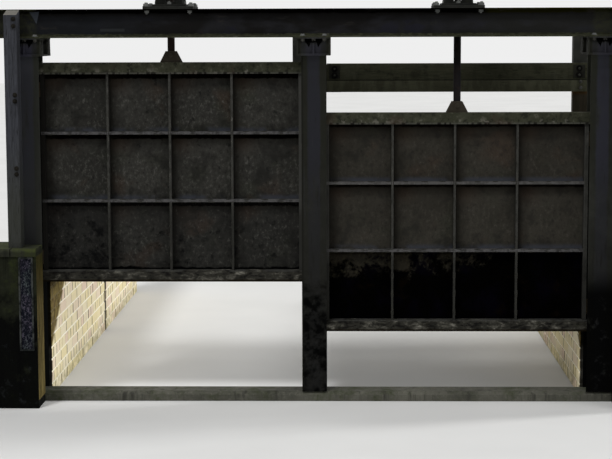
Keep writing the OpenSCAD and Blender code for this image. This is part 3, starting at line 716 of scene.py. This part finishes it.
def top_member_material(leaf):
    """Algae-green member with pale specks low down, a painted highlight along its lower edge and ragged
    painted shade at its very bottom.
    """
    n = steel("top_member_" + leaf.side, (22.5, 23.5, 14), (34.5, 35.2, 22.5), 0.5, 0.25, 0.4)
    down = n.minus(leaf.top, n.z)
    mottle = n.noise(26, 5, 0.7)
    n.lay((8.5, 8.8, 5.4), n.ramp(mottle, 0.49, 0.38), 0.85)
    n.lay((64, 63.5, 46), n.ramp(mottle, 0.55, 0.66), 0.75)
    n.lay((105, 100, 82), n.spots(0.56, 0.64, 20, 5), n.ramp(down, 0.026, 0.06), 0.8)
    # painted highlight along the lower edge
    n.lay((50, 50, 42), n.ramp(down, 0.058, 0.065), 0.7)
    # painted shade in ragged teeth at the very bottom
    teeth = n.spots(0.5, 0.42, 32, 2, 0.4, stretch=(1, 0.2, 0.2))
    n.lay((4, 3.6, 2.6), teeth, n.ramp(down, 0.058, 0.062), 0.9)
    n.lay((36, 25, 17), n.spots(0.58, 0.72, 5), 0.5)
    return steel_finish(n)


def bottom_bar_material(leaf):
    """Scraped bar: dark slime with pale scars along it, a dusty upper edge and a dark foot."""
    n = steel("bottom_bar_" + leaf.side, (11.5, 11, 8.5), (25, 23.8, 19), 0.4, 0.5, 0.4)
    scars = n.noise(16, 6, 0.68, 0.3, stretch=(0.8, 1, 1.7))
    n.lay((60, 57.5, 47), n.ramp(scars, 0.51, 0.59), 0.85)
    n.lay((150, 144, 122), n.ramp(scars, 0.6, 0.65), 0.85)
    n.lay((1.8, 1.5, 1.2), n.ramp(scars, 0.48, 0.4), 0.93)
    up = n.minus(n.z, leaf.low)
    n.lay((36, 36, 33), n.within(up, BOTTOM_BAR - 0.007, BOTTOM_BAR + 0.002), n.spots(0.4, 0.54, 8), 0.7)
    foot = n.ramp(up, 0.016, 0.008)
    n.lay((6, 4.2, 1.8), foot, 0.92)
    return steel_finish(n, 0.6, n.times(foot, 0.8))


def stone(name, dark, light, moss, moss_low, moss_high, grain):
    """Weathered stone or concrete with streaks, pitting and moss on upper faces."""
    n = Nodes(name)
    broad = n.noise(2.6, 6, 0.7)
    grit = n.noise(grain, 6, 0.75)
    pits = n.new("ShaderNodeTexVoronoi", {"Scale": grain * 0.9, "Vector": n.coords})["Distance"]
    streak = n.noise(4, 5, 0.65, stretch=(5, 5, 0.35))
    n.colour = n.mix(n.ramp(broad, 0.3, 0.72), dark, light)
    n.lay([c * 1.7 for c in light], n.ramp(grit, 0.5, 0.74), 0.5)
    n.lay([c * 0.35 for c in dark], n.ramp(streak, 0.5, 0.68), 0.7)
    n.lay(moss, n.most(n.ramp(n.nz, 0.2, 0.9), n.ramp(streak, 0.6, 0.4)),
          n.spots(moss_low, moss_high, 7, 7, 0.75))
    n.height = n.fma(n.ramp(pits, 0.05, 0.3), 0.5, n.math("ADD", broad, grit))
    return n


def stone_finish(n, specular=0.15):
    return n.finish(0.9, specular, 0.7, 0.004)


def pier_material():
    """Slimy dark stone; the inner face that the water rubs is ochre."""
    n = stone("dark_stone", (5.8, 6.6, 4.2), (13.5, 15, 9.2), (17, 21.5, 7.5), 0.48, 0.66, 34)
    below = n.fma(n.up(0.66, 0.48), 0.24, n.noise(9, 6, 0.7))
    n.lay((0.8, 0.8, 1), n.ramp(below, 0.5, 0.7), n.up(0.9, 0.55), 0.92)
    n.lay((22, 27, 9), n.spots(0.56, 0.68, 8, 5), n.up(0.55, 0.75), 0.6)
    n.lay((25, 28, 30), n.spots(0.56, 0.74, 13, 5, 0.7), n.up(0.6, 0.25), 0.5)
    streak = n.spots(0.36, 0.64, 14, 5, 0.65, stretch=(1, 6, 0.5))
    ochre = n.mix(streak, (48, 36, 9), (170, 133, 52))
    ochre = n.mix(n.times(n.spots(0.6, 0.7, 30), 0.7), ochre, (16, 14, 8))
    ochre = n.mix(n.times(n.up(0.6, 0.76), 0.6), ochre, (26, 21.5, 5))
    ochre = n.mix(n.times(n.up(0.82, 0.9), 0.6), ochre, (33, 33, 11))
    n.lay(ochre, n.more(n.nx, 0.7), n.more(n.z, 0.05))
    return stone_finish(n, 0.04)


def coping_material():
    """Mossy stone edge, darker below its upper arris."""
    n = stone("worn_coping", (12.5, 14, 8.5), (32, 34, 22), (36, 44, 12), 0.4, 0.6, 40)
    ragged = n.fma(n.noise(30, 4, 0.7), 0.02, n.z)
    n.lay((6, 6.6, 4), n.ramp(ragged, COPING_TOP, COPING_TOP - 0.012), 0.6)
    return stone_finish(n)


# the painted shadow on the upper wall starts at this place and height and rises downstream
SHADE_Y, SHADE_Z, SHADE_RISE = 0.28, 0.44, 0.67
WALL_SPECULAR = 0.2


def wall_shade_and_stains(n):
    """Painted brown shadow on the upper wall next to the gate, dark stain and painted shade beside the
    movement joint, and algae along its foot.

    Gives how much the wall reflects: nothing in the painted shadow.
    """
    cloud = n.noise(18, 5, 0.65)
    wavy = n.fma(n.noise(22, stretch=(1, 1, 0.3)), 0.05, n.z)
    above = n.minus(wavy, n.fma(n.minus(n.y, SHADE_Y), SHADE_RISE, SHADE_Z))
    shade = n.ramp(above, 0, 0.06)
    # painted shadow: brown, darker still at its top next to the gate
    n.lay(n.mix(n.ramp(cloud, 0.38, 0.62), (60, 41, 10), (160, 118, 36)), shade, 0.94)
    n.lay((10, 7, 3), shade, n.up(0.62, 0.76), n.ramp(n.y, 0.55, 0.3), 0.9)
    off_joint = n.size(n.minus(n.y, (FILLER_LO.y + FILLER_HI.y) / 2))
    # dark stain and painted shade beside the movement joint
    n.lay((30, 24, 14), n.ramp(off_joint, 0.055, 0.035), 0.9)
    n.lay((200, 180, 80), n.up(0.16, 0.01), n.ramp(cloud, 0.34, 0.6), 0.7)
    return n.fma(shade, -WALL_SPECULAR, WALL_SPECULAR)


def brick_material():
    """Cream and pinkish bricks: the tone attribute gives each brick its colour."""
    n = Nodes("cream_brick")
    tone = n.new("ShaderNodeAttribute", attribute_name="tone")["Fac"]
    grit = n.noise(120, 5, 0.75)
    cloud = n.noise(18, 5, 0.65)
    n.colour = n.mix(n.ramp(tone, 0, 0.55, "LINEAR"), (760, 660, 390), (780, 700, 510))
    n.lay((720, 570, 450), n.ramp(tone, 0.66, 1, "LINEAR"))
    n.lay((620, 540, 330), n.ramp(cloud, 0.5, 0.78), 0.35)
    n.lay((420, 330, 210), n.ramp(grit, 0.6, 0.8), 0.5)
    # painted shade: the brick faces towards the gate darkened, in the slot by the leaf
    n.lay((60, 42, 26), n.less(n.ny, -0.5), n.spots(0.38, 0.54, 5, 3), 0.9)
    n.height = n.fma(grit, 0.6, cloud)
    return n.finish(0.88, wall_shade_and_stains(n), 0.6)


def mortar_material():
    """Near white joints, dark in the upright joints and beside the movement joint, with the end face towards
    the gate in painted shade.
    """
    n = Nodes("pale_mortar")
    n.height = n.noise(160, 5, 0.8)
    n.colour = n.mix(n.spots(0.35, 0.7, 6, 5, 0.65), (900, 860, 700), (940, 910, 800))
    n.lay((620, 560, 420), n.ramp(n.height, 0.6, 0.78), 0.3)
    course = n.math("FRACT", n.fma(n.z, COURSES / WALL_HI.z, 0.5))
    between = n.more(n.size(n.minus(course, 0.5)), 0.09)
    n.lay((130, 100, 60), between, n.spots(0.4, 0.56, 7, 3), 0.85)
    specular = wall_shade_and_stains(n)
    # painted shade: the wall's end face towards the gate near black
    n.lay((4, 4, 3), n.less(n.ny, -0.7), 0.97)
    return n.finish(0.93, specular, 0.7)


def timber(name, base, light, top, grain_scale, cracks):
    """Weathered timber with grain, checks and stains."""
    n = Nodes(name)
    grain = n.noise(9, 8, 0.7, 0.8, stretch=grain_scale)
    checks = n.spots(0.4, 0.32, 16, 3, 0.55, 0.2, stretch=grain_scale)
    n.colour = n.mix(n.ramp(grain, 0.34, 0.68), base, light)
    n.lay([c * 1.4 for c in light], n.spots(0.5, 0.75, 2, 4, 0.6, 0.3, stretch=grain_scale), 0.4)
    n.lay((18, 22, 10), n.spots(0.55, 0.78, 5, 6, 0.7), 0.5)
    n.lay((5, 5, 4), checks, cracks)
    n.lay(top, n.ramp(n.nz, 0.5, 0.95), 0.85)
    n.height = n.minus(grain, n.times(checks, 1.4))
    return n


def timber_finish(n):
    return n.finish(0.88, 0.12, 0.7, 0.003)


def post_material():
    """Blue-grey above, greener towards the water."""
    n = timber("post_timber", (21.5, 22.5, 26.2), (44, 46, 55), (165, 156, 135), (14, 14, 0.8), 0.8)
    n.lay((29, 30.5, 21.5), n.up(1.75, 1.15), 0.65)
    return timber_finish(n)


def rail_material():
    """Mottled grey-olive boards, the lower one a little paler."""
    n = timber("rail_timber", (24.5, 25.2, 14.5), (38, 39, 23.2), (62, 62, 48), (0.8, 14, 14), 0.45)
    blotch = n.noise(9, 5, 0.65, stretch=(1, 1, 1.4))
    n.lay((42, 43, 28), n.ramp(blotch, 0.52, 0.66), 0.6)
    n.lay((10.5, 10.8, 6), n.ramp(blotch, 0.46, 0.36), 0.6)
    runs = n.noise(12, stretch=(1.6, 1, 0.45))
    n.lay((12, 12.4, 7.5), n.ramp(runs, 0.48, 0.38), 0.35)
    pale = n.mix(n.ramp(runs, 0.4, 0.6), (56, 56.8, 35), (86, 87, 57))
    n.lay(pale, n.up(BOARD_SPLIT, BOARD_SPLIT - 0.004), 0.7)
    n.lay(BLACK, n.within(n.z, BOARD_SPLIT - 0.003, BOARD_SPLIT + 0.003), 0.7)
    return timber_finish(n)


def guard_material():
    """Grey above the boards and rusty brown below them."""
    n = steel("guard_steel", (16, 16.5, 14), (27, 27.5, 23), 0.25, 0.4, 0.4)
    brown = n.mix(n.spots(0.35, 0.65, 10, 5, stretch=(3, 3, 0.5)), (20, 16.5, 9), (37, 30, 19))
    n.lay(brown, n.less(n.z, RAIL_LO.z), 0.85)
    n.lay((60, 30, 6), n.before(n.z, [RAIL_LO.z], 0.03), 0.8)
    return steel_finish(n)


def stem_material(leaf, low_colour, high_colour):
    """Greased screw, its colour changing upwards from the leaf."""
    n = Nodes("stem_" + leaf.side)
    n.height = n.noise(30, 5, 0.7)
    n.colour = n.mix(n.ramp(n.minus(n.z, leaf.top), 0.12, 0.42), low_colour, high_colour)
    n.lay((18, 11, 7.5), n.spots(0.5, 0.7, 7, 6, 0.7, 0.4), 0.6)
    n.lay((1.2, 1.1, 1), n.ramp(n.height, 0.5, 0.75), 0.7)
    return n.finish(n.fma(n.height, 0.3, 0.5), 0.05, 0.2, 0.0008)


def rubber_material():
    n = Nodes("seal_rubber")
    n.height = n.noise(45)
    n.colour = n.mix(n.ramp(n.height, 0.4, 0.7), (6, 6, 6), (20, 20, 18))
    return n.finish(0.8, 0.3, 0.3, 0.001)


def brass_material():
    n = Nodes("shoe_brass")
    n.height = n.noise(50, 5, 0.7)
    n.colour = n.mix(n.ramp(n.height, 0.35, 0.7), (20, 15, 8), (70, 50, 24))
    return n.finish(n.fma(n.height, 0.3, 0.48), 0.2, 0.2, 0.001, metallic=0.4)


def bolt_material(name, base, light, specular):
    n = Nodes(name)
    n.height = n.noise(110, 5, 0.7)
    n.colour = n.mix(n.spots(0.38, 0.62, 22), base, light)
    n.lay([c * 0.4 for c in light], n.ramp(n.height, 0.55, 0.75), 0.6)
    return n.finish(0.72, specular, 0.35, 0.0008)


def gauge_material():
    """Worn enamel plate in a pale steel frame."""
    n = Nodes("worn_enamel")
    n.height = n.noise(80, 5, 0.7, 0.8, stretch=(1.2, 1, 0.8))
    tint = n.mix(n.spots(0.42, 0.58, 5, 2), (62, 56, 76), (48, 62, 60))
    n.colour = n.mix(n.ramp(n.height, 0.48, 0.62), (2, 2.6, 5.8), tint)
    n.lay((3.6, 4.4, 8), n.spots(0.5, 0.7, 6, 5), 0.6)
    n.lay((1.5, 1.7, 2.4), n.spots(0.6, 0.7, 16), 0.8)
    metal = n.mix(n.spots(0.4, 0.62, 25), (8, 9.5, 9.2), (40, 43, 41))
    n.lay(metal, n.less(n.y, PIER_FRONT - 0.001))
    return n.finish(0.7, 0.06, 0.5)


# base and light colour and, for steel, the shares of algae, rust and wear, for bolts how much they reflect
STEELS = {
    "hoist_iron": ((7.8, 8.1, 7.2), (14.5, 14.8, 12.8), 0.4),
    "lug_iron": ((19, 16, 11), (30, 25.5, 18.5), 0.3, 0.9),
    "cleat_steel": ((8.5, 8.6, 6.2), (16.5, 16.6, 11.8), 0.4, 0.5, 0.2),
    "weld_steel": ((12, 11.8, 9.5), (21, 20.5, 17), 0.3, 0.5),
}
BOLTS = {
    "bolt_steel": ((70, 73, 70), (120, 122, 115), 0.2),
    "dull_bolt": ((35, 35, 29), (75, 73, 64), 0.2),
    "pale_bolt": ((88, 92, 90), (138, 142, 136), 0.2),
    "guard_bolt": ((50, 50, 44), (92, 90, 80), 0.2),
    "cleat_bolt": ((18, 19, 15), (42, 43, 36), 0.1),
    "post_bolt": ((5, 4.2, 3), (12.5, 10.5, 8), 0.08),
    "dark_bolt": ((2, 2, 1.8), (6, 5.5, 4.5), 0.05),
}
M = {"brick": brick_material()}
M.update({name: steel_finish(steel(name, *looks)) for name, looks in STEELS.items()})
M.update({name: bolt_material(name, *looks) for name, looks in BOLTS.items()})
STEM_TONES = {"left": ((13, 8, 6), (6, 3.6, 2.2)), "right": ((7, 6.2, 6.6), (2, 2, 1.8))}
M.update({"stem_" + side: stem_material(LEAVES[side], *tones) for side, tones in STEM_TONES.items()})
CONCRETE = stone("cast_concrete", (50, 50, 40), (100, 98, 80), (30, 36, 16), 0.45, 0.7, 40)
# the material of each CAD node whose name starts like this
CLOTHES = (
    ("sill", stone_finish(CONCRETE)),
    ("pier_", pier_material()),
    ("coping_", coping_material()),
    ("side_wall_", mortar_material()),
    ("gauge_", gauge_material()),
    (("joint_filler_", "seals_"), rubber_material()),
    ("column_", column_steel()),
    ("saddle_", saddle_steel()),
    ("head_beam_", beam_steel()),
    (("hoist_", "pedestal_"), M["hoist_iron"]),
    ("timber_post_", post_material()),
    ("guard_rails", rail_material()),
    (("guard_post_", "guard_bracket"), guard_material()),
    ("guide_shoes_", brass_material()),
    ("lug_", M["lug_iron"]),
)


def dress(name, material):
    """Gives a CAD node its material."""
    slots = NODES[name].data.materials
    slots.clear()
    slots.append(material)


for name in NODES:
    for start, material in CLOTHES:
        if name.startswith(start):
            dress(name, material)
for side, leaf in LEAVES.items():
    dress("skin_" + side, skin_material(leaf))
    dress("ribs_" + side, rib_material(leaf))
    dress("top_member_" + side, top_member_material(leaf))
    dress("bottom_bar_" + side, bottom_bar_material(leaf))
    dress("stem_" + side, M["stem_" + side])


def brick_face(shape, rng, u0, u1, place):
    """English bond from u0 to u1 along a wall; place gives a brick's corners from its run and height."""
    course = WALL_HI.z / COURSES
    for row in range(COURSES):
        length = BRICK_W if row % 2 else BRICK_L
        u = u0 - length / 2
        while u < u1:
            a, b = max(u, u0), min(u + length, u1)
            if b - a > SHORTEST_BRICK:
                z0 = row * course + JOINT / 2
                z1 = (row + 1) * course - JOINT / 2
                tone = rng.random()
                lo, hi = place(a, b, z0, z1, rng.uniform(*BRICK_PUSH))
                shape.add(*chamfer_box(lo, hi, BRICK_CUT), tone=tone)
            u += length + JOINT


def side_bricks(name, sign, seed):
    """Bricks on both faces of a side wall and across its far end."""
    rng = random.Random(seed)
    shape = Shape()

    def placer(face, facing, across=False):
        def place(a, b, z0, z1, push):
            depth = sorted((face + facing * (BRICK_PROUD + push), face - facing * BRICK_SUNK))
            xs, ys = ((a, b), depth) if across else (depth, (a, b))
            xs = sorted(sign * x for x in xs)
            return (xs[0], ys[0], z0), (xs[1], ys[1], z1)
        return place

    for y0, y1 in ((WALL_LO.y, FILLER_LO.y), (FILLER_HI.y, WALL_HI.y)):
        brick_face(shape, rng, y0, y1, placer(WALL_LO.x, -1))
        brick_face(shape, rng, y0, y1, placer(WALL_HI.x, 1))
    brick_face(shape, rng, WALL_LO.x, WALL_HI.x, placer(WALL_HI.y, 1, across=True))
    shape.make(name, "brick", "brick")


def saddle_bolts():
    """Bolts through the lower beam flanges and the saddle top plates."""
    nuts, heads = Shape(), Shape()
    under = BEAM_LO.z - SADDLE_TOP
    for x in (-BAY, 0.0, BAY):
        for lo, hi in ((BEAM_LO, BEAM_HI), (REAR_LO, REAR_HI)):
            for y in (lo.y + SADDLE_BOLT_EDGE, hi.y - SADDLE_BOLT_EDGE):
                for dx in (-SADDLE_BOLT_OUT, SADDLE_BOLT_OUT):
                    at = along((x + dx, y, BEAM_LO.z + FLANGE), UP)
                    heads.lathe(FLAT_WASHER, ROUND, at)
                    heads.lathe(FLAT_HEAD, 6, at, dx * FLAT_HEAD_TURN)
                    bolt(nuts, (x + dx, y, under), DOWN, SADDLE_BOLT, end=0.004)
                bolt(nuts, (x, y, under), DOWN, SADDLE_BOLT, end=0.004)
    nuts.make("saddle_nuts", "dull_bolt", "saddle_steel")
    heads.make("saddle_bolts", "pale_bolt", "saddle_steel")


def hoist_bolts():
    """Bolts through each hoist plate and the upper beam flanges, round the pedestal's foot and its cover."""
    for side in LEAVES:
        shape, ring = Shape(), Shape()
        lo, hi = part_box("hoist_plate_" + side)
        middle = (lo.x + hi.x) / 2
        edges = ((BEAM_LO, 1), (BEAM_HI, -1), (REAR_LO, 1), (REAR_HI, -1))
        for dx in (-PLATE_BOLT_OUT, PLATE_BOLT_OUT):
            for y in [edge.y + inward * PLATE_BOLT_EDGE for edge, inward in edges]:
                bolt(shape, (middle + dx, y, hi.z), UP, PLATE_BOLT, end=0.006)
                bolt(shape, (middle + dx * PLATE_NUT_SHARE, y, lo.z - FLANGE), DOWN, PLATE_NUT, end=0.003)
        foot_lo, foot_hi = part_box("pedestal_" + side)
        centre_y = (foot_lo.y + foot_hi.y) / 2
        half = (foot_hi.x - foot_lo.x) / 2 - FOOT_BOLT_EDGE
        for dx, dy in ((half, 0), (-half, 0), (0, half), (0, -half)):
            bolt(shape, (middle + dx, centre_y + dy, foot_lo.z + FOOT_PLATE), UP, FOOT_BOLT, end=0.004)
        shape.make("hoist_bolts_" + side, "bolt_steel", "hoist_iron")
        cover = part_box("hoist_" + side)[0].z + COVER_TOP
        for k in range(COVER_BOLTS):
            a = (k + 0.5) * 2 * math.pi / COVER_BOLTS
            x, y = middle + COVER_BOLT_R * math.cos(a), centre_y + COVER_BOLT_R * math.sin(a)
            bolt(ring, (x, y, cover), UP, COVER_BOLT, washer=False)
        ring.make("cover_bolts_" + side, "hoist_iron", "hoist_iron")


def post_bolts():
    """Pairs of dark coach bolts down each timber post."""
    for side, sign in SIDES:
        lo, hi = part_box("timber_post_" + side)
        shape = Shape()
        x = (lo.x + hi.x) / 2 - sign * POST_BOLT_IN
        for z in POST_BOLT_Z:
            bolt(shape, (x, lo.y, z), UPSTREAM, POST_BOLT, end=0.003)
        shape.make("post_bolts_" + side, "post_bolt", "timber")


def guard_details():
    """Cleat plates and bolts that hold the guard boards to posts and bracket."""
    cleats, washers, nuts, bolts = Shape(), Shape(), Shape(), Shape()
    face = RAIL_LO.y
    for x0, x1 in CLEATS:
        plate = chamfer_box((x0, face - CLEAT_T, CLEAT_Z[0]), (x1, face, CLEAT_Z[1]), CLEAT_CUT)
        cleats.add(*plate)
        x = (x0 + x1) / 2
        for z in CLEAT_BOLT_Z:
            washers.lathe(CLEAT_WASHER, ROUND, along((x, face - CLEAT_T, z), UPSTREAM))
            bolt(nuts, (x, face - CLEAT_T - CLEAT_WASHER[1][1], z), UPSTREAM, CLEAT_BOLT, False, 0.002)
    for x in LOW_BOLT_X:
        for z in LOW_BOLT_Z:
            bolt(bolts, (x, face, z), UPSTREAM, LOW_BOLT, end=0.003)
    cleats.make("guard_cleats", "cleat_steel", "guard_steel")
    washers.make("guard_washers", "dark_bolt", "guard_steel")
    nuts.make("cleat_bolts", "cleat_bolt", "guard_steel")
    bolts.make("guard_bolts", "guard_bolt", "guard_steel")


def bead(shape, rng, start, end, size):
    """A lumpy weld bead from start to end."""
    start = Vector(start)
    run = Vector(end) - start
    count = max(2, int(run.length / WELD_RING_STEP))
    side = run.normalized().orthogonal().normalized()
    other = run.normalized().cross(side)
    rings = []
    for k in range(count + 1):
        r = size * rng.uniform(*WELD_LUMPS) * (0.5 if k in (0, count) else 1.0)
        centre = start + run * (k / count)
        angles = [2 * math.pi * i / WELD_RING for i in range(WELD_RING)]
        rings.append([centre + side * (r * math.cos(t)) + other * (r * math.sin(t)) for t in angles])
    shape.tube(rings)


def leaf_welds(leaf, seed):
    """Stitches of weld where the ribs meet the skin plate."""
    rng = random.Random(seed)
    shape = Shape()
    for level in LEVEL_RIBS:
        for z in (leaf.top - level + LEVEL_RIB_T, leaf.top - level):
            x = leaf.end_ribs[0] + LEVEL_WELD_GAPS[0]
            while x < leaf.end_ribs[1] - LEVEL_WELD_GAPS[1]:
                end = x + rng.uniform(*WELD_LENGTH)
                bead(shape, rng, (x, WELD_Y, z), (end, WELD_Y, z), LEVEL_WELD_R)
                x += LEVEL_WELD_PITCH
    for rib in leaf.inner_ribs:
        for x in (rib - RIB_T / 2, rib + RIB_T / 2):
            z = leaf.low + BOTTOM_BAR + UPRIGHT_WELD_GAPS[0]
            while z < leaf.top - TOP_MEMBER - UPRIGHT_WELD_GAPS[1]:
                end = z + rng.uniform(*WELD_LENGTH)
                bead(shape, rng, (x, WELD_Y, z), (x, WELD_Y, end), UPRIGHT_WELD_R)
                z += UPRIGHT_WELD_PITCH
    shape.make("welds_" + leaf.side, "weld_steel", "leaf_ribs", leaf.body, WELD_SMOOTH)


def seal_bolts(leaf):
    """Bolts that clamp the seals, seen from downstream."""
    shape = Shape()
    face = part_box("seals_" + leaf.side)[1].y
    for k in range(SEAL_BOLTS):
        z = leaf.low + SEAL_BOLT_START + k * SEAL_BOLT_PITCH
        for x in (leaf.x0 + SEAL_BOLT_EDGE, leaf.x1 - SEAL_BOLT_EDGE):
            bolt(shape, (x, face, z), DOWNSTREAM, SEAL_BOLT, washer=False)
    shape.make("seal_bolts_" + leaf.side, "dull_bolt", "stem_steel", leaf.body)


def stem_core(shape, x, y, z0, z1, thread0):
    """Plain foot, threaded length at root size and the stop collar."""
    collar = z1 - COLLAR_H
    profile = [(STEM_R - STEM_CUT, z0), (STEM_R, z0 + STEM_CUT), (STEM_R, thread0),
               (STEM_ROOT_R, thread0 + STEM_PITCH / 2), (STEM_ROOT_R, collar), (COLLAR_R - STEM_CUT, collar),
               (COLLAR_R, collar + STEM_CUT), (COLLAR_R, z1 - STEM_CUT), (COLLAR_R - STEM_CUT, z1)]
    shape.lathe(profile, STEM_SIDES, Matrix.Translation((x, y, 0)))


def stem_thread(shape, x, y, z0, z1):
    """A trapezoidal thread, its inner edge buried in the core; heights are shares of the pitch."""
    section = ((STEM_ROOT_R - 0.001, 0.0), (STEM_ROOT_R, 0.05), (STEM_R, 0.22), (STEM_R, 0.6),
               (STEM_ROOT_R, 0.77), (STEM_ROOT_R - 0.001, 0.82))
    turns = int((z1 - z0) / STEM_PITCH) - 1
    rings = []
    for i in range(turns * STEM_SIDES + 1):
        a = 2 * math.pi * i / STEM_SIDES
        z = z0 + STEM_PITCH * i / STEM_SIDES
        rings.append([Vector((x + r * math.cos(a), y + r * math.sin(a), z + STEM_PITCH * share))
                      for r, share in section])
    shape.tube(rings)


def stem(leaf):
    """The screw with its thread, in place of the CAD's plain stem."""
    lo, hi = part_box("stem_" + leaf.side)
    x, y = (lo.x + hi.x) / 2, (lo.y + hi.y) / 2
    start = leaf.top + THREAD_START
    shape = Shape()
    stem_core(shape, x, y, leaf.top + STEM_FOOT, hi.z, start)
    stem_thread(shape, x, y, start, hi.z - COLLAR_H)
    obj = shape.make("screw_" + leaf.side, "stem_" + leaf.side, "stem_steel", leaf.body, STEM_SMOOTH)
    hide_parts("stem_" + leaf.side)


def floor():
    """A pale floor that stays out of the model."""
    n = Nodes("studio_floor")
    n.colour = n.mix(n.spots(0.3, 0.7, 0.6, 3), FLOOR_DARK, FLOOR_LIGHT)
    n.finish(0.95, DULL)
    mesh = bpy.data.meshes.new("floor")
    s = FLOOR_HALF
    mesh.from_pydata([(-s, -s, 0), (s, -s, 0), (s, s, 0), (-s, s, 0)], [], [(0, 1, 2, 3)])
    obj = add_object("floor", mesh)
    obj.data.materials.append(n.mat)
    obj.location.z = FLOOR_Z


def world():
    """Soft white surroundings, brighter where the camera or a glossy or clear surface sees them."""
    studio = bpy.data.worlds.new("studio")
    bpy.context.scene.world = studio
    studio.use_nodes = True
    nodes = Tree(studio.node_tree)
    path = nodes.new("ShaderNodeLightPath")
    seen = nodes.most(path["Is Camera Ray"], path["Is Glossy Ray"], path["Is Transmission Ray"])
    level = {"Value": seen, "To Min": WORLD_LIGHT, "To Max": WORLD_SEEN}
    background = nodes.tree.nodes["Background"]
    nodes.put(background.inputs["Strength"], nodes.new("ShaderNodeMapRange", level)[0])
    background.inputs["Color"].default_value = (1.0, 1.0, 1.0, 1.0)


def sun(name, rotation, strength, angle):
    light = bpy.data.lights.new(name, "SUN")
    light.energy = strength
    light.angle = math.radians(angle)
    add_object(name, light).rotation_euler = Euler([math.radians(a) for a in rotation])


def camera():
    data = bpy.data.cameras.new("camera")
    data.sensor_fit = "HORIZONTAL"
    data.sensor_width = SENSOR_MM
    data.lens = FOCAL_PX / FRAME_W_PX * SENSOR_MM
    data.clip_end = CLIP_END
    obj = add_object("camera", data)
    turn = Matrix.Rotation(CAMERA_LEFT, 4, "Z")
    tilt = Matrix.Rotation(math.pi / 2 - CAMERA_DOWN, 4, "X")
    roll = Matrix.Rotation(CAMERA_ROLL, 4, "Z")
    obj.matrix_world = Matrix.Translation(CAMERA_AT) @ turn @ tilt @ roll
    bpy.context.scene.camera = obj


side_bricks("bricks_left", -1, 7)
side_bricks("bricks_right", 1, 11)
saddle_bolts()
hoist_bolts()
post_bolts()
guard_details()
leaf_welds(LEAVES["left"], 3)
leaf_welds(LEAVES["right"], 5)
for leaf in LEAVES.values():
    seal_bolts(leaf)
    stem(leaf)

floor()
world()
for name, rotation, strength, angle in SUNS:
    sun(name, rotation, strength, angle)
camera()
bpy.context.scene.view_settings.view_transform = "Standard"
